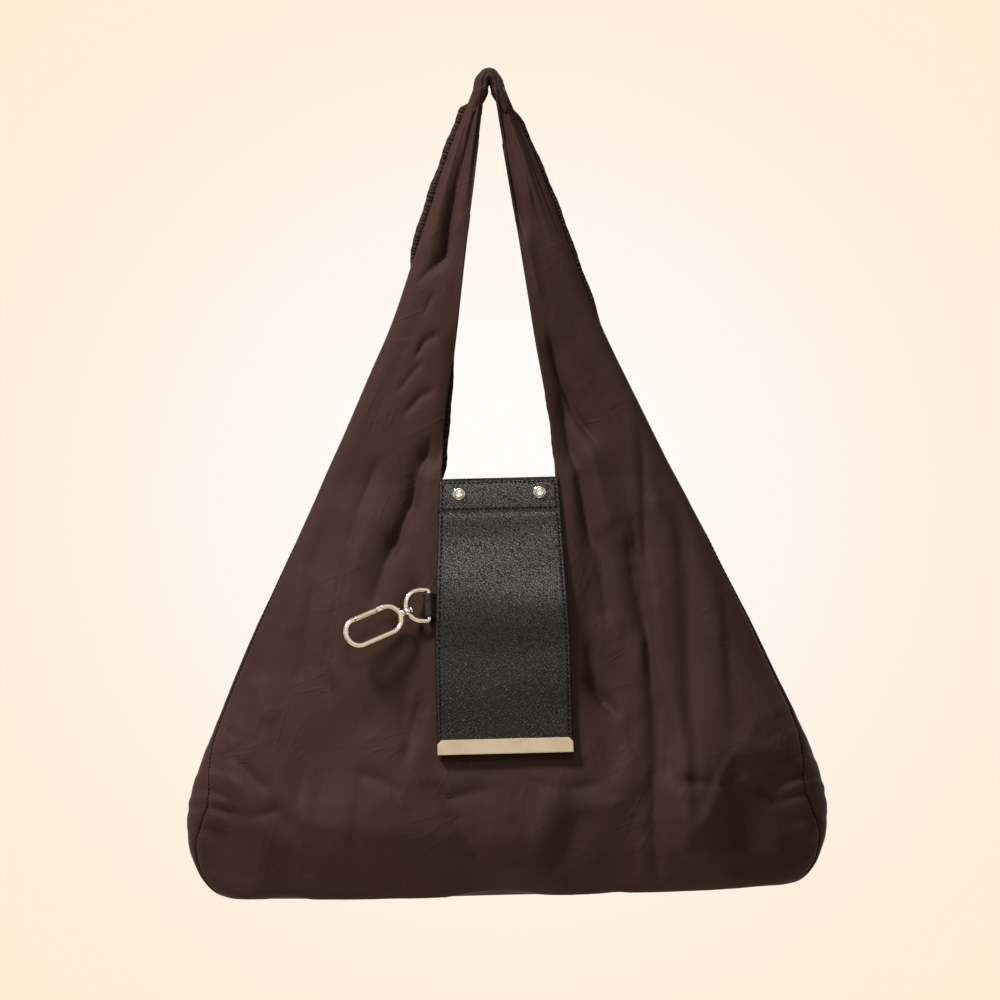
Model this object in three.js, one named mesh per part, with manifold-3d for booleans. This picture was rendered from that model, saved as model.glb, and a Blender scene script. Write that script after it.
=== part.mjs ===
// Foldable nylon shopping bag: a gusseted cloth body whose two straps meet in one carrying loop,
// a leather flap that wraps the folded bag and snaps shut, and a swivel clip on the flap's edge.
// Millimetres, +Z up, the front of the bag towards -Y.
// The origin is the point under the loop's crown where a hook bears. Heights below are measured from the base.
import * as THREE from "three";
import { mergeVertices } from "three/addons/utils/BufferGeometryUtils.js";
import Module from "manifold-3d";

const wasm = await Module();
wasm.setup();

// Clearances
const fitGap = 0.3; // between neighbouring pieces
const seamGap = 0.3; // between two cloth panels at their seam

// Cloth body
const clothThickness = 0.8;
const baseThickness = 1.0;
const bellyHeight = 42; // height of the widest section
const bellyHalfWidth = 192;
const bellyHalfDepth = 52;
const footDrawWidth = 24; // how far the rounded foot draws in at each side
const footDrawDepth = 12; // and at the front and the back
const flankHeight = 114; // where the straight flanks begin
const flankHalfWidth = 168.6;
const frontFootHeight = 80; // the front is straight from here to the mouth
const frontFootHalfDepth = 47.5;
const mouthHeight = 246;
const mouthHalfWidth = 106;
const mouthHalfDepth = 16;
const sectionPowerWide = 3; // a section is |x / half width|^3 + |y / half depth|^2.2 = 1
const sectionPowerDeep = 2.2;
const gussetShare = 0.45; // the part of the half depth that belongs to the side gusset

// Straps and the loop they make
const strapKneeHeight = 344;
const strapKneeHalfWidth = 61;
const strapNeckHeight = 416;
const strapNeckHalfWidth = 35;
const loopHeight = 480; // underside of the crown
const loopHalfWidth = 12;
const loopHalfDepth = 13;
const neckHalfWidth = 34; // half of the neckline at the mouth
const neckKneeHalfWidth = 22;
const hookHalfGap = 3.2; // half of the gap under the crown
const crownRise = 13;
const crownStep = 0.6; // the crown's underside sits this far below its shoulders
const elasticThickness = 2.4;
const elasticReach = 5; // how far the gathered edge stands out of the strap
const elasticFootHeight = 352;

// Leather
const bandHeight = 20;
const bandTopHalfWidth = 35.5;
const flapTopHalfWidth = 36.5;
const flapHalfWidth = 40;
const upperLength = 79; // from the band to the fold
const lowerLength = 66; // from the fold to the flap's end
const leatherThickness = 1.3;
const liningThickness = 0.9;
const backingThickness = 1.0;
const backingInset = 1.5; // the backing is smaller than the band by this much all round
const bindingHeight = 8; // cloth tape over the back edge of the mouth
const bindingThickness = 0.8;

// Edge bar
const barHeight = 9;
const barThickness = 1.0;
const barBackHeight = 7;
const barCornerCut = 2.6;

// Snap fasteners
const snapHalfSpacing = 24;
const studFromTop = 8.4; // stud centre below the band's upper edge
const socketFromBar = 6; // socket centre above the edge bar
const postRadius = 1.2;
const flareRadius = 1.8;
const flareThickness = 0.4;
const studRadius = 4;
const studFloor = 0.7;
const studKnobRadius = 3;
const studHeight = 3;
const socketRadius = 4.5;
const socketFloor = 0.6;
const socketMouthRadius = 2.7;
const socketHeight = 2;
const rivetRadius = 3.8;
const rivetThickness = 0.7;
const pocketRivetRadius = 3;
const pocketRivetThickness = 0.5;

// Clip on the flap's left edge
const tabFromHinge = 55.6; // down the flap
const tabHeight = 14;
const tabReach = 4.2; // flap edge to the bow's bar
const tabLeather = 1.0;
const bowTilt = THREE.MathUtils.degToRad(15); // the tab holds the bow this far off the cloth
const bowWire = 3;
const bowHalfHeight = 10.8;
const bowArcOffset = 4.7; // bar to the centre of the round side
const swivelDroop = THREE.MathUtils.degToRad(24); // the clip points this far below the horizontal
const swivelBossRadius = 2.6;
const swivelBossLength = 3.6;
const swivelPinRadius = 1.1;
const swivelHeadRadius = 2.2;
const swivelHeadLength = 1.3;
const clipNeckRadius = 2.2;
const clipNeckLength = 1.2;
const clipLength = 38.5;
const clipHalfWidth = 9.5;
const clipWire = 3.2;
const gateLength = 16.7; // hinge pin to the gate's free end
const gateFromEnd = 11.25; // hinge pin from the clip's swivel end
const gateForkReach = 2; // the fork's cheeks end this far past the pin
const gateTongue = 1.0;
const gatePinRadius = 0.55;
const gateKnuckleRadius = 1.35;
const gateSpringLength = 8;
const gateSpringWidth = 0.6;
const gateSpringThickness = 0.4;

const cloth = new THREE.MeshStandardMaterial({ color: 0x4a362e, roughness: 0.6, metalness: 0 });
const hem = new THREE.MeshStandardMaterial({ color: 0x3e2c25, roughness: 0.65, metalness: 0 });
const leather = new THREE.MeshStandardMaterial({ color: 0x2e2724, roughness: 0.5, metalness: 0 });
const lining = new THREE.MeshStandardMaterial({ color: 0x241d1a, roughness: 0.7, metalness: 0 });
const gold = new THREE.MeshStandardMaterial({ color: 0xd3be98, roughness: 0.25, metalness: 1 });

// Helpers for meshes and booleans

function named(name, geometry, material) {
  geometry.computeVertexNormals();
  const mesh = new THREE.Mesh(geometry, material);
  mesh.name = name;
  return mesh;
}

function solidOf(geometry, place = new THREE.Matrix4()) {
  const loose = geometry.index ? geometry.toNonIndexed() : geometry;
  const bare = new THREE.BufferGeometry().setAttribute("position", loose.getAttribute("position").clone());
  const merged = mergeVertices(bare.applyMatrix4(place), 1e-4);
  return new wasm.Manifold(
    new wasm.Mesh({
      numProp: 3,
      vertProperties: merged.attributes.position.array,
      triVerts: new Uint32Array(merged.index.array),
    }),
  );
}

function geometryOf(solid) {
  const mesh = solid.getMesh();
  return new THREE.BufferGeometry()
    .setAttribute("position", new THREE.BufferAttribute(mesh.vertProperties, 3))
    .setIndex(new THREE.BufferAttribute(mesh.triVerts, 1));
}

function moved(x, y, z) {
  return new THREE.Matrix4().makeTranslation(x, y, z);
}

function slab(shape, depth, bevel = 0) {
  const geometry = new THREE.ExtrudeGeometry(shape, {
    depth: depth - 2 * bevel,
    curveSegments: 6,
    bevelEnabled: bevel > 0,
    bevelThickness: bevel,
    bevelSize: bevel,
    bevelOffset: -bevel,
    bevelSegments: 2,
  });
  return geometry.translate(0, 0, bevel);
}

function polygon(points) {
  return new THREE.Shape(points.map(([x, y]) => new THREE.Vector2(x, y)));
}

function roundHole(x, y, radius) {
  return new THREE.Path().absarc(x, y, radius, 0, 2 * Math.PI, true);
}

function rod(radius, length, sides = 16) {
  return new THREE.CylinderGeometry(radius, radius, length, sides);
}

// A closed sheet between two grids of points, rows upwards and columns counterclockwise seen from above.
function sheetSolid(outer, inner) {
  const rows = outer.length;
  const columns = outer[0].length;
  const lastRow = rows - 1;
  const lastColumn = columns - 1;
  const at = (layer, r, c) => (layer * rows + r) * columns + c;
  const index = [];
  const quad = (a, b, c, d) => index.push(a, b, c, a, c, d);
  for (let r = 0; r < lastRow; r++) {
    for (let c = 0; c < lastColumn; c++) {
      quad(at(0, r, c), at(0, r, c + 1), at(0, r + 1, c + 1), at(0, r + 1, c));
      quad(at(1, r, c), at(1, r + 1, c), at(1, r + 1, c + 1), at(1, r, c + 1));
    }
    quad(at(0, r, 0), at(0, r + 1, 0), at(1, r + 1, 0), at(1, r, 0));
    quad(at(0, r, lastColumn), at(1, r, lastColumn), at(1, r + 1, lastColumn), at(0, r + 1, lastColumn));
  }
  for (let c = 0; c < lastColumn; c++) {
    quad(at(0, 0, c), at(1, 0, c), at(1, 0, c + 1), at(0, 0, c + 1));
    quad(at(0, lastRow, c), at(0, lastRow, c + 1), at(1, lastRow, c + 1), at(1, lastRow, c));
  }
  const points = [...outer.flat(), ...inner.flat()];
  return new THREE.BufferGeometry().setFromPoints(points).setIndex(index);
}

// The bag's outer surface: sections that change with height

function easeBetween(z, [z0, v0, slope0], [z1, v1, slope1]) {
  const span = z1 - z0;
  const t = (z - z0) / span;
  const rise = t * t * (3 - 2 * t);
  return v0 + (v1 - v0) * rise + span * (slope0 * t * (1 - t) * (1 - t) - slope1 * t * t * (1 - t));
}

// A smooth curve of a value over height through [height, value] knots.
function curveThrough(knots, firstSlope) {
  const slopes = knots.map((_, i) => {
    const [z0, v0] = knots[Math.max(i - 1, 0)];
    const [z1, v1] = knots[Math.min(i + 1, knots.length - 1)];
    return i === 0 ? firstSlope : (v1 - v0) / (z1 - z0);
  });
  return (z) => {
    const i = Math.max(0, Math.min(knots.length - 2, knots.findLastIndex(([height]) => height <= z)));
    return easeBetween(z, [...knots[i], slopes[i]], [...knots[i + 1], slopes[i + 1]]);
  };
}

const flankCurve = curveThrough(
  [
    [bellyHeight, bellyHalfWidth],
    [flankHeight, flankHalfWidth],
    [mouthHeight, mouthHalfWidth],
    [strapKneeHeight, strapKneeHalfWidth],
    [strapNeckHeight, strapNeckHalfWidth],
    [loopHeight, loopHalfWidth],
  ],
  0,
);
const neckCurve = curveThrough(
  [
    [mouthHeight, neckHalfWidth],
    [strapKneeHeight, neckKneeHalfWidth],
    [loopHeight, hookHalfGap],
  ],
  0,
);
const frontLean = (mouthHalfDepth - frontFootHalfDepth) / (mouthHeight - frontFootHeight);
const frontAngle = Math.atan(-frontLean);

// The rounded foot draws every section in by a quarter ellipse.
function footDraw(z, draw) {
  const t = Math.max(0, 1 - z / bellyHeight);
  return draw * (1 - Math.sqrt(1 - t * t));
}

function halfWidth(z) {
  return z < bellyHeight ? bellyHalfWidth - footDraw(z, footDrawWidth) : flankCurve(z);
}

function halfDepth(z) {
  if (z < bellyHeight) {
    return bellyHalfDepth - footDraw(z, footDrawDepth);
  }
  if (z < frontFootHeight) {
    const foot = [frontFootHeight, frontFootHalfDepth, frontLean];
    return easeBetween(z, [bellyHeight, bellyHalfDepth, 0], foot);
  }
  if (z < mouthHeight) {
    return mouthHalfDepth + frontLean * (z - mouthHeight);
  }
  return THREE.MathUtils.mapLinear(z, mouthHeight, loopHeight, mouthHalfDepth, loopHalfDepth);
}

function depthAt(x, z) {
  return halfDepth(z) * (1 - Math.abs(x / halfWidth(z)) ** sectionPowerWide) ** (1 / sectionPowerDeep);
}

function widthAt(y, z) {
  return halfWidth(z) * (1 - Math.abs(y / halfDepth(z)) ** sectionPowerDeep) ** (1 / sectionPowerWide);
}

function seamDepth(z) {
  return gussetShare * halfDepth(z);
}

function seamWidth(z) {
  return widthAt(seamDepth(z), z);
}

function outward(p) {
  const level = (x, y, z) =>
    Math.abs(x / halfWidth(z)) ** sectionPowerWide + Math.abs(y / halfDepth(z)) ** sectionPowerDeep;
  const step = 0.01;
  return new THREE.Vector3(
    level(p.x + step, p.y, p.z) - level(p.x - step, p.y, p.z),
    level(p.x, p.y + step, p.z) - level(p.x, p.y - step, p.z),
    level(p.x, p.y, p.z + step) - level(p.x, p.y, p.z - step),
  ).normalize();
}

function clothSheet(heights, sectionPoints) {
  const outer = heights.map((z) => sectionPoints(z));
  const inner = outer.map((row) => row.map((p) => p.clone().addScaledVector(outward(p), -clothThickness)));
  return sheetSolid(outer, inner);
}

// Main folds of the hanging cloth, seen from the front: a line of [x, height] points, its half width, and how far the
// fold stands out or, below 0, falls in.
const mainFolds = [
  { line: [[80, 178], [86, 130], [90, 77], [86, 50]], reach: 15, rise: -5.5 },
  { line: [[66, 118], [72, 82], [70, 58]], reach: 16, rise: 4.5 },
  { line: [[58, 214], [60, 186], [63, 158]], reach: 11, rise: -3.5 },
  { line: [[72, 218], [78, 190]], reach: 12, rise: 2.5 },
  { line: [[-62, 218], [-70, 196], [-78, 172]], reach: 12, rise: -3.5 },
  { line: [[-58, 140], [-60, 92]], reach: 13, rise: -3.5 },
  { line: [[-86, 214], [-96, 164], [-102, 124]], reach: 13, rise: 3 },
  { line: [[-112, 190], [-122, 128]], reach: 12, rise: -2.8 },
  { line: [[42, 54], [33, 30], [24, 16]], reach: 14, rise: -4 },
  { line: [[-14, 36], [10, 34]], reach: 26, rise: 4 },
  { line: [[-123, 58], [-87, 54]], reach: 30, rise: 3.5 },
  { line: [[133, 84], [120, 64], [108, 42]], reach: 14, rise: -5.5 },
  { line: [[112, 128], [108, 90], [104, 62]], reach: 13, rise: 3.5 },
  { line: [[150, 104], [139, 82]], reach: 14, rise: 2.5 },
  { line: [[-158, 84], [-142, 62], [-126, 40]], reach: 15, rise: -3 },
];
const backFoldShare = 0.85;
const foldSeamFade = 16;
const foldEdgeFade = 20;
const foldStripFade = 14;
const stripMargin = 3;

function foldRise({ line, reach, rise }, x, z) {
  let [nearest, along] = [Infinity, 0];
  for (let i = 0; i + 1 < line.length; i++) {
    const [[x0, z0], [x1, z1]] = [line[i], line[i + 1]];
    const [dx, dz] = [x1 - x0, z1 - z0];
    const t = THREE.MathUtils.clamp(((x - x0) * dx + (z - z0) * dz) / (dx * dx + dz * dz), 0, 1);
    const far = Math.hypot(x - x0 - t * dx, z - z0 - t * dz);
    if (far < nearest) {
      [nearest, along] = [far, (i + t) / (line.length - 1)];
    }
  }
  const ends = THREE.MathUtils.smoothstep(along * 4 + 0.25, 0, 1) * THREE.MathUtils.smoothstep((1 - along) * 4 + 0.25, 0, 1);
  const q = (nearest / reach) ** 2;
  return rise * ends * Math.exp(-q) * (1 - 0.55 * q);
}

// Folds die out at the seams, at the mouth, at the base, and under the leather strip.
function clothRise(x, z) {
  const side = Math.abs(x);
  const { smoothstep } = THREE.MathUtils;
  const inside = smoothstep(seamWidth(z) - side, 0, foldSeamFade);
  const between = smoothstep(mouthHeight - z, 0, foldEdgeFade) * smoothstep(z, wallFoot, wallFoot + foldEdgeFade / 2);
  const stripSide = flapHalfWidth + stripMargin;
  const stripFoot = mouthHeight - bandHeight - upperLength - lowerLength;
  const underStrip =
    (1 - smoothstep(side, stripSide, stripSide + foldStripFade)) * smoothstep(z, stripFoot - foldStripFade, stripFoot);
  const total = mainFolds.reduce((sum, fold) => sum + foldRise(fold, x, z), 0);
  return total * inside * between * (1 - underStrip);
}

function folded(p, rise) {
  return p.addScaledVector(outward(p), rise);
}

function steps(from, to, count) {
  return Array.from({ length: count + 1 }, (_, i) => from + ((to - from) * i) / count);
}

// Somewhat crowded towards both ends, where a section bends most.
function crowded(from, to, count) {
  const middle = (from + to) / 2;
  return steps(-1, 1, count).map((s) => middle + ((to - from) / 4) * (s + Math.sin((s * Math.PI) / 2)));
}

const wallFoot = baseThickness + fitGap;
const bodyHeights = [
  ...steps(0, 1, 5).map((s) => wallFoot + (bellyHeight - wallFoot) * s * s),
  ...steps(bellyHeight, frontFootHeight, 3).slice(1),
  ...steps(frontFootHeight, mouthHeight, 11).slice(1),
];
const panelColumns = 28;
const strapHeights = steps(mouthHeight + fitGap, loopHeight + fitGap, 11);

// Cloth pieces

function frontRow(z) {
  const edge = seamWidth(z) - seamGap / 2;
  const spot = (x) => folded(new THREE.Vector3(x, -depthAt(x, z), z), clothRise(x, z));
  return crowded(-edge, edge, panelColumns).map(spot);
}

function backRow(z) {
  const edge = seamWidth(z) - seamGap / 2;
  const spot = (x) => folded(new THREE.Vector3(x, depthAt(x, z), z), backFoldShare * clothRise(-x, z));
  return crowded(edge, -edge, panelColumns).map(spot);
}

function gussetRow(z, side) {
  const edge = side * (seamDepth(z) - seamGap / 2);
  return steps(-edge, edge, 4).map((y) => new THREE.Vector3(side * widthAt(y, z), y, z));
}

// One strap: its front layer, its outer side and its back layer, open towards the loop.
function strapRow(z, side) {
  const layer = steps(0, 1, 5).map((s) => {
    const inner = neckCurve(Math.min(z, loopHeight));
    return inner + (seamWidth(z) - inner) * Math.sin((s * Math.PI) / 2);
  });
  const front = layer.map((x) => new THREE.Vector3(side * x, -depthAt(x, z), z));
  const back = layer.map((x) => new THREE.Vector3(side * x, depthAt(x, z), z)).reverse();
  const outer = steps(-seamDepth(z), seamDepth(z), 4)
    .slice(1, -1)
    .map((y) => new THREE.Vector3(side * widthAt(y, z), y, z));
  const row = [...front, ...outer, ...back];
  return side > 0 ? row : row.reverse();
}

function basePanel() {
  const turn = steps(0, 2 * Math.PI, 40).slice(0, -1);
  const signedPower = (value, power) => Math.sign(value) * Math.abs(value) ** power;
  const outline = turn.map((angle) => [
    (halfWidth(wallFoot) - fitGap) * signedPower(Math.cos(angle), 2 / sectionPowerWide),
    (halfDepth(wallFoot) - fitGap) * signedPower(Math.sin(angle), 2 / sectionPowerDeep),
  ]);
  return slab(polygon(outline), baseThickness);
}

// The gathered elastic edge that stands out of a strap's outer side, in front view.
function elasticEdge(side) {
  const heights = strapHeights.filter((z) => z > elasticFootHeight && z < loopHeight);
  const share = (z) => (z - elasticFootHeight) / (loopHeight - elasticFootHeight);
  const reach = (z) => fitGap + 0.5 + elasticReach * Math.sin(Math.PI * share(z)) ** 0.7;
  const near = heights.map((z) => [side * (halfWidth(z) + fitGap), z]);
  const far = heights.map((z) => [side * (halfWidth(z) + reach(z)), z]).reverse();
  const geometry = slab(polygon([...near, ...far]), elasticThickness);
  return geometry.translate(0, 0, -elasticThickness / 2).rotateX(Math.PI / 2);
}

// The bunched cloth over the hook, with a flat underside between the straps.
function crown() {
  const flat = hookHalfGap - fitGap;
  const shoulder = crownStep + fitGap;
  const half = loopHalfWidth + fitGap;
  const shape = new THREE.Shape()
    .moveTo(-flat, 0)
    .lineTo(flat, 0)
    .lineTo(flat, shoulder)
    .lineTo(half, shoulder)
    .bezierCurveTo(half - 1, crownRise * 0.6, half * 0.55, crownRise, 0, crownRise)
    .bezierCurveTo(-half * 0.55, crownRise, 1 - half, crownRise * 0.6, -half, shoulder)
    .lineTo(-flat, shoulder);
  const depth = 2 * loopHalfDepth;
  return slab(shape, depth)
    .translate(0, 0, -depth / 2)
    .rotateX(Math.PI / 2)
    .translate(0, 0, loopHeight);
}

// A plane lying on the cloth: X across, Y up the slope, Z out of the cloth, its origin at the mouth's edge.
function clothPlane(side) {
  const turn = new THREE.Group();
  turn.rotation.z = side < 0 ? 0 : Math.PI;
  const plane = new THREE.Group();
  plane.position.set(0, -mouthHalfDepth, mouthHeight);
  plane.rotation.x = Math.PI / 2 - frontAngle;
  turn.add(plane);
  return { turn, plane };
}

// How far the cloth falls back from the plane at a distance from the centre line.
function clothFall(x) {
  return mouthHalfDepth - depthAt(x, mouthHeight);
}

// Leather band, flap and their snaps

const flapThickness = liningThickness + fitGap + leatherThickness;
const bandFace = fitGap + flapThickness;
const backingFace = -(clothThickness + clothFall(bandTopHalfWidth) + fitGap);
const backingBack = backingFace - backingThickness;
const postHole = postRadius + fitGap;
const snapSides = [
  ["left", -1],
  ["right", 1],
];

function snapHoles(y, radius) {
  return snapSides.map(([, side]) => roundHole(side * snapHalfSpacing, y, radius));
}

function mouthBand() {
  const shape = polygon([
    [-flapTopHalfWidth, -bandHeight],
    [flapTopHalfWidth, -bandHeight],
    [bandTopHalfWidth, 0],
    [-bandTopHalfWidth, 0],
  ]);
  shape.holes.push(...snapHoles(-studFromTop, postHole));
  return slab(shape, flapThickness).translate(0, 0, fitGap);
}

function bandBacking() {
  const half = bandTopHalfWidth - backingInset;
  const shape = polygon([
    [-half, backingInset - bandHeight],
    [half, backingInset - bandHeight],
    [half, -backingInset],
    [-half, -backingInset],
  ]);
  shape.holes.push(...snapHoles(-studFromTop, postHole));
  return slab(shape, backingThickness).translate(0, 0, backingBack);
}

// A folded cloth tape over the back edge of the mouth, between the straps.
function backBinding() {
  const outside = fitGap;
  const inside = -(clothThickness + clothFall(neckHalfWidth) + fitGap);
  const t = bindingThickness;
  const shape = polygon([
    [outside, -bindingHeight],
    [outside + t, -bindingHeight],
    [outside + t, fitGap + t],
    [inside - t, fitGap + t],
    [inside - t, -bindingHeight],
    [inside, -bindingHeight],
    [inside, fitGap],
    [outside, fitGap],
  ]);
  const length = 2 * (neckHalfWidth - 2 * fitGap);
  return slab(shape, length)
    .translate(0, 0, -length / 2)
    .rotateY(-Math.PI / 2);
}

function flapHalfWidthAt(down) {
  return THREE.MathUtils.lerp(flapTopHalfWidth, flapHalfWidth, Math.min(1, down / upperLength));
}

function upperShape() {
  const top = -fitGap / 2;
  return polygon([
    [-flapHalfWidth, fitGap / 2 - upperLength],
    [flapHalfWidth, fitGap / 2 - upperLength],
    [flapTopHalfWidth, top],
    [-flapTopHalfWidth, top],
  ]);
}

const socketDown = lowerLength - barHeight - socketFromBar;
const lowerEnd = lowerLength - barThickness - fitGap;

function lowerShape() {
  return polygon([
    [-flapHalfWidth, -lowerEnd],
    [flapHalfWidth, -lowerEnd],
    [flapHalfWidth, -fitGap / 2],
    [-flapHalfWidth, -fitGap / 2],
  ]);
}

// Flap layers lie behind the flap's outer face, which is at Z = 0.
function outerLayer(shape) {
  return slab(shape, leatherThickness).translate(0, 0, -leatherThickness);
}

function innerLayer(shape) {
  return slab(shape, liningThickness).translate(0, 0, -flapThickness);
}

const pocketDepth = pocketRivetThickness + fitGap;

// The outer leather of the lower flap, with a shallow pocket on its back over each socket's rivet.
function lowerLeather() {
  let solid = solidOf(outerLayer(lowerShape()));
  for (const [, side] of snapSides) {
    const pocket = rod(pocketRivetRadius + fitGap, 2 * pocketDepth).rotateX(Math.PI / 2);
    solid = solid.subtract(solidOf(pocket, moved(side * snapHalfSpacing, -socketDown, -leatherThickness)));
  }
  return geometryOf(solid);
}

function lowerLining() {
  const shape = lowerShape();
  shape.holes.push(...snapHoles(-socketDown, postHole));
  return innerLayer(shape);
}

// A channel clamped over the flap's end: face plate, web and back leg.
function edgeBar() {
  const half = flapHalfWidth;
  const face = polygon([
    [-half, -lowerLength],
    [half, -lowerLength],
    [half, barHeight - lowerLength - barCornerCut],
    [half - barCornerCut, barHeight - lowerLength],
    [barCornerCut - half, barHeight - lowerLength],
    [-half, barHeight - lowerLength - barCornerCut],
  ]);
  const back = polygon([
    [-half, -lowerLength],
    [half, -lowerLength],
    [half, barBackHeight - lowerLength],
    [-half, barBackHeight - lowerLength],
  ]);
  const backFace = -(flapThickness + fitGap + barThickness);
  const span = fitGap + barThickness - backFace;
  const web = new THREE.BoxGeometry(2 * half, barThickness, span);
  return geometryOf(
    solidOf(slab(face, barThickness), moved(0, 0, fitGap))
      .add(solidOf(slab(back, barThickness), moved(0, 0, backFace)))
      .add(solidOf(web, moved(0, barThickness / 2 - lowerLength, backFace + span / 2))),
  );
}

function turned(profile) {
  return new THREE.LatheGeometry(
    profile.map(([radius, height]) => new THREE.Vector2(radius, height)),
    20,
  );
}

// The ring stud that shows on the band, its foot at height 0.
function snapStud() {
  const bore = flareRadius + fitGap;
  return turned([
    [postHole, 0],
    [studRadius, 0],
    [studRadius, studFloor],
    [studKnobRadius, studFloor + 0.4],
    [studKnobRadius - 0.4, studHeight * 0.55],
    [studKnobRadius, studHeight * 0.75],
    [studKnobRadius - 0.3, studHeight],
    [bore, studHeight - 0.2],
    [bore, studFloor],
    [postHole, studFloor],
    [postHole, 0],
  ]);
}

// The socket on the flap's lining that a stud snaps into, its foot at height 0.
function snapSocket() {
  return turned([
    [postHole, 0],
    [socketRadius, 0],
    [socketRadius, socketHeight - 0.4],
    [socketRadius - 0.5, socketHeight],
    [socketMouthRadius, socketHeight],
    [socketMouthRadius, socketFloor],
    [postHole, socketFloor],
    [postHole, 0],
  ]);
}

// A rivet from the outer side of its flange, at height 0, to the flare that holds the snap.
function snapRivet(flangeRadius, flangeThickness, grip) {
  const flare = flangeThickness + grip;
  return turned([
    [0, 0],
    [flangeRadius, 0],
    [flangeRadius, flangeThickness],
    [postRadius, flangeThickness],
    [postRadius, flare],
    [flareRadius, flare],
    [flareRadius, flare + flareThickness],
    [0, flare + flareThickness],
  ]);
}

function placedSnap(name, geometry, side, y, z, direction) {
  const mesh = named(name, geometry.rotateX((direction * Math.PI) / 2), gold);
  mesh.position.set(side * snapHalfSpacing, y, z);
  return mesh;
}

function bandSnaps() {
  const studFoot = bandFace + fitGap;
  const flangeFoot = backingBack - fitGap - rivetThickness;
  const grip = studFoot + studFloor + fitGap - (flangeFoot + rivetThickness);
  return snapSides.flatMap(([word, side]) => [
    placedSnap(`snap_stud_${word}`, snapStud(), side, -studFromTop, studFoot, 1),
    placedSnap(
      `stud_rivet_${word}`,
      snapRivet(rivetRadius, rivetThickness, grip),
      side,
      -studFromTop,
      flangeFoot,
      1,
    ),
  ]);
}

function flapSnaps() {
  const socketFoot = -flapThickness - fitGap;
  const flangeFoot = pocketDepth - leatherThickness - fitGap;
  const grip = flangeFoot - pocketRivetThickness - (socketFoot - socketFloor - fitGap);
  return snapSides.flatMap(([word, side]) => [
    placedSnap(`snap_socket_${word}`, snapSocket(), side, -socketDown, socketFoot, -1),
    placedSnap(
      `socket_rivet_${word}`,
      snapRivet(pocketRivetRadius, pocketRivetThickness, grip),
      side,
      -socketDown,
      flangeFoot,
      -1,
    ),
  ]);
}

// The studs' posts pass through the front panel, inside the band.
function frontPanel(plane) {
  plane.updateWorldMatrix(true, false);
  const holeLength = 20;
  let solid = solidOf(clothSheet(bodyHeights, frontRow));
  for (const [, side] of snapSides) {
    const place = plane.matrixWorld.clone().multiply(moved(side * snapHalfSpacing, -studFromTop, 0));
    solid = solid.subtract(solidOf(rod(postHole, holeLength).rotateX(Math.PI / 2), place));
  }
  return geometryOf(solid);
}

// Clip: tab, bow, swivel pin, frame and gate

const bowHole = bowWire * 0.63 + fitGap;
const tabRadius = bowHole + tabLeather;
const tabOpening = THREE.MathUtils.degToRad(40);

// Leather loop round the bow's bar, flush with the flap's back, its tongue butting the flap's edge.
function clipTab() {
  const tongue = tabReach - fitGap;
  const shape = new THREE.Shape()
    .absarc(0, 0, tabRadius, tabOpening, 1.5 * Math.PI, false)
    .lineTo(tongue, -tabRadius)
    .lineTo(tongue, flapThickness - tabRadius);
  shape.holes.push(roundHole(0, 0, bowHole));
  return slab(shape, tabHeight)
    .translate(0, 0, -tabHeight / 2)
    .rotateX(Math.PI / 2);
}

function bowOutline(path, half, bar, corner) {
  return path
    .moveTo(bar - corner, half)
    .lineTo(-bowArcOffset, half)
    .absarc(-bowArcOffset, 0, half, Math.PI / 2, 1.5 * Math.PI, false)
    .lineTo(bar - corner, -half)
    .absarc(bar - corner, corner - half, corner, -Math.PI / 2, 0, false)
    .lineTo(bar, half - corner)
    .absarc(bar - corner, half - corner, corner, 0, Math.PI / 2, false);
}

const bowArcRadius = bowHalfHeight - bowWire / 2;

// A D-shaped bow with a bored boss where the swivel pin passes through its round side.
function swivelBow() {
  const shape = bowOutline(new THREE.Shape(), bowHalfHeight, bowWire / 2, bowWire);
  shape.holes.push(bowOutline(new THREE.Path(), bowHalfHeight - bowWire, -bowWire / 2, 0.8));
  const place = moved(-bowArcOffset, 0, 0)
    .multiply(new THREE.Matrix4().makeRotationZ(Math.PI + swivelDroop))
    .multiply(moved(bowArcRadius, 0, 0));
  const boss = rod(swivelBossRadius, swivelBossLength).rotateZ(Math.PI / 2);
  const bore = rod(swivelPinRadius + fitGap, 2 * swivelBossLength).rotateZ(Math.PI / 2);
  return geometryOf(
    solidOf(slab(shape, bowWire, 0.7), moved(0, 0, -bowWire / 2))
      .add(solidOf(boss, place))
      .subtract(solidOf(bore, place)),
  );
}

// Along the swivel axis, from the centre of the bow's round side.
const neckStart = bowArcRadius + swivelBossLength / 2 + fitGap;
const clipStart = neckStart + clipNeckLength;
const clipMiddle = clipStart + clipLength / 2;
const pinEnd = clipStart + clipWire / 2;
const gateX = clipStart + gateFromEnd;
const gateY = clipWire / 2 - clipHalfWidth;
const pinHole = gatePinRadius + fitGap;
// The gate's body starts clear of the fork's inner corners, which it swings past.
const gateStart = Math.hypot(gateForkReach, clipWire / 2) + fitGap / 2;

// A rivet whose head sits inside the bow and whose shank is set in the clip's neck.
function swivelPin() {
  const headEnd = bowArcRadius - swivelBossLength / 2 - fitGap;
  return turned([
    [0, headEnd - swivelHeadLength],
    [swivelHeadRadius, headEnd - swivelHeadLength],
    [swivelHeadRadius, headEnd],
    [swivelPinRadius, headEnd],
    [swivelPinRadius, pinEnd - fitGap],
    [0, pinEnd - fitGap],
  ]).rotateZ(-Math.PI / 2);
}

function stadium(path, halfLength, radius) {
  const centre = halfLength - radius;
  return path
    .absarc(centre, 0, radius, -Math.PI / 2, Math.PI / 2, false)
    .absarc(-centre, 0, radius, Math.PI / 2, 1.5 * Math.PI, false)
    .lineTo(centre, -radius);
}

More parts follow.
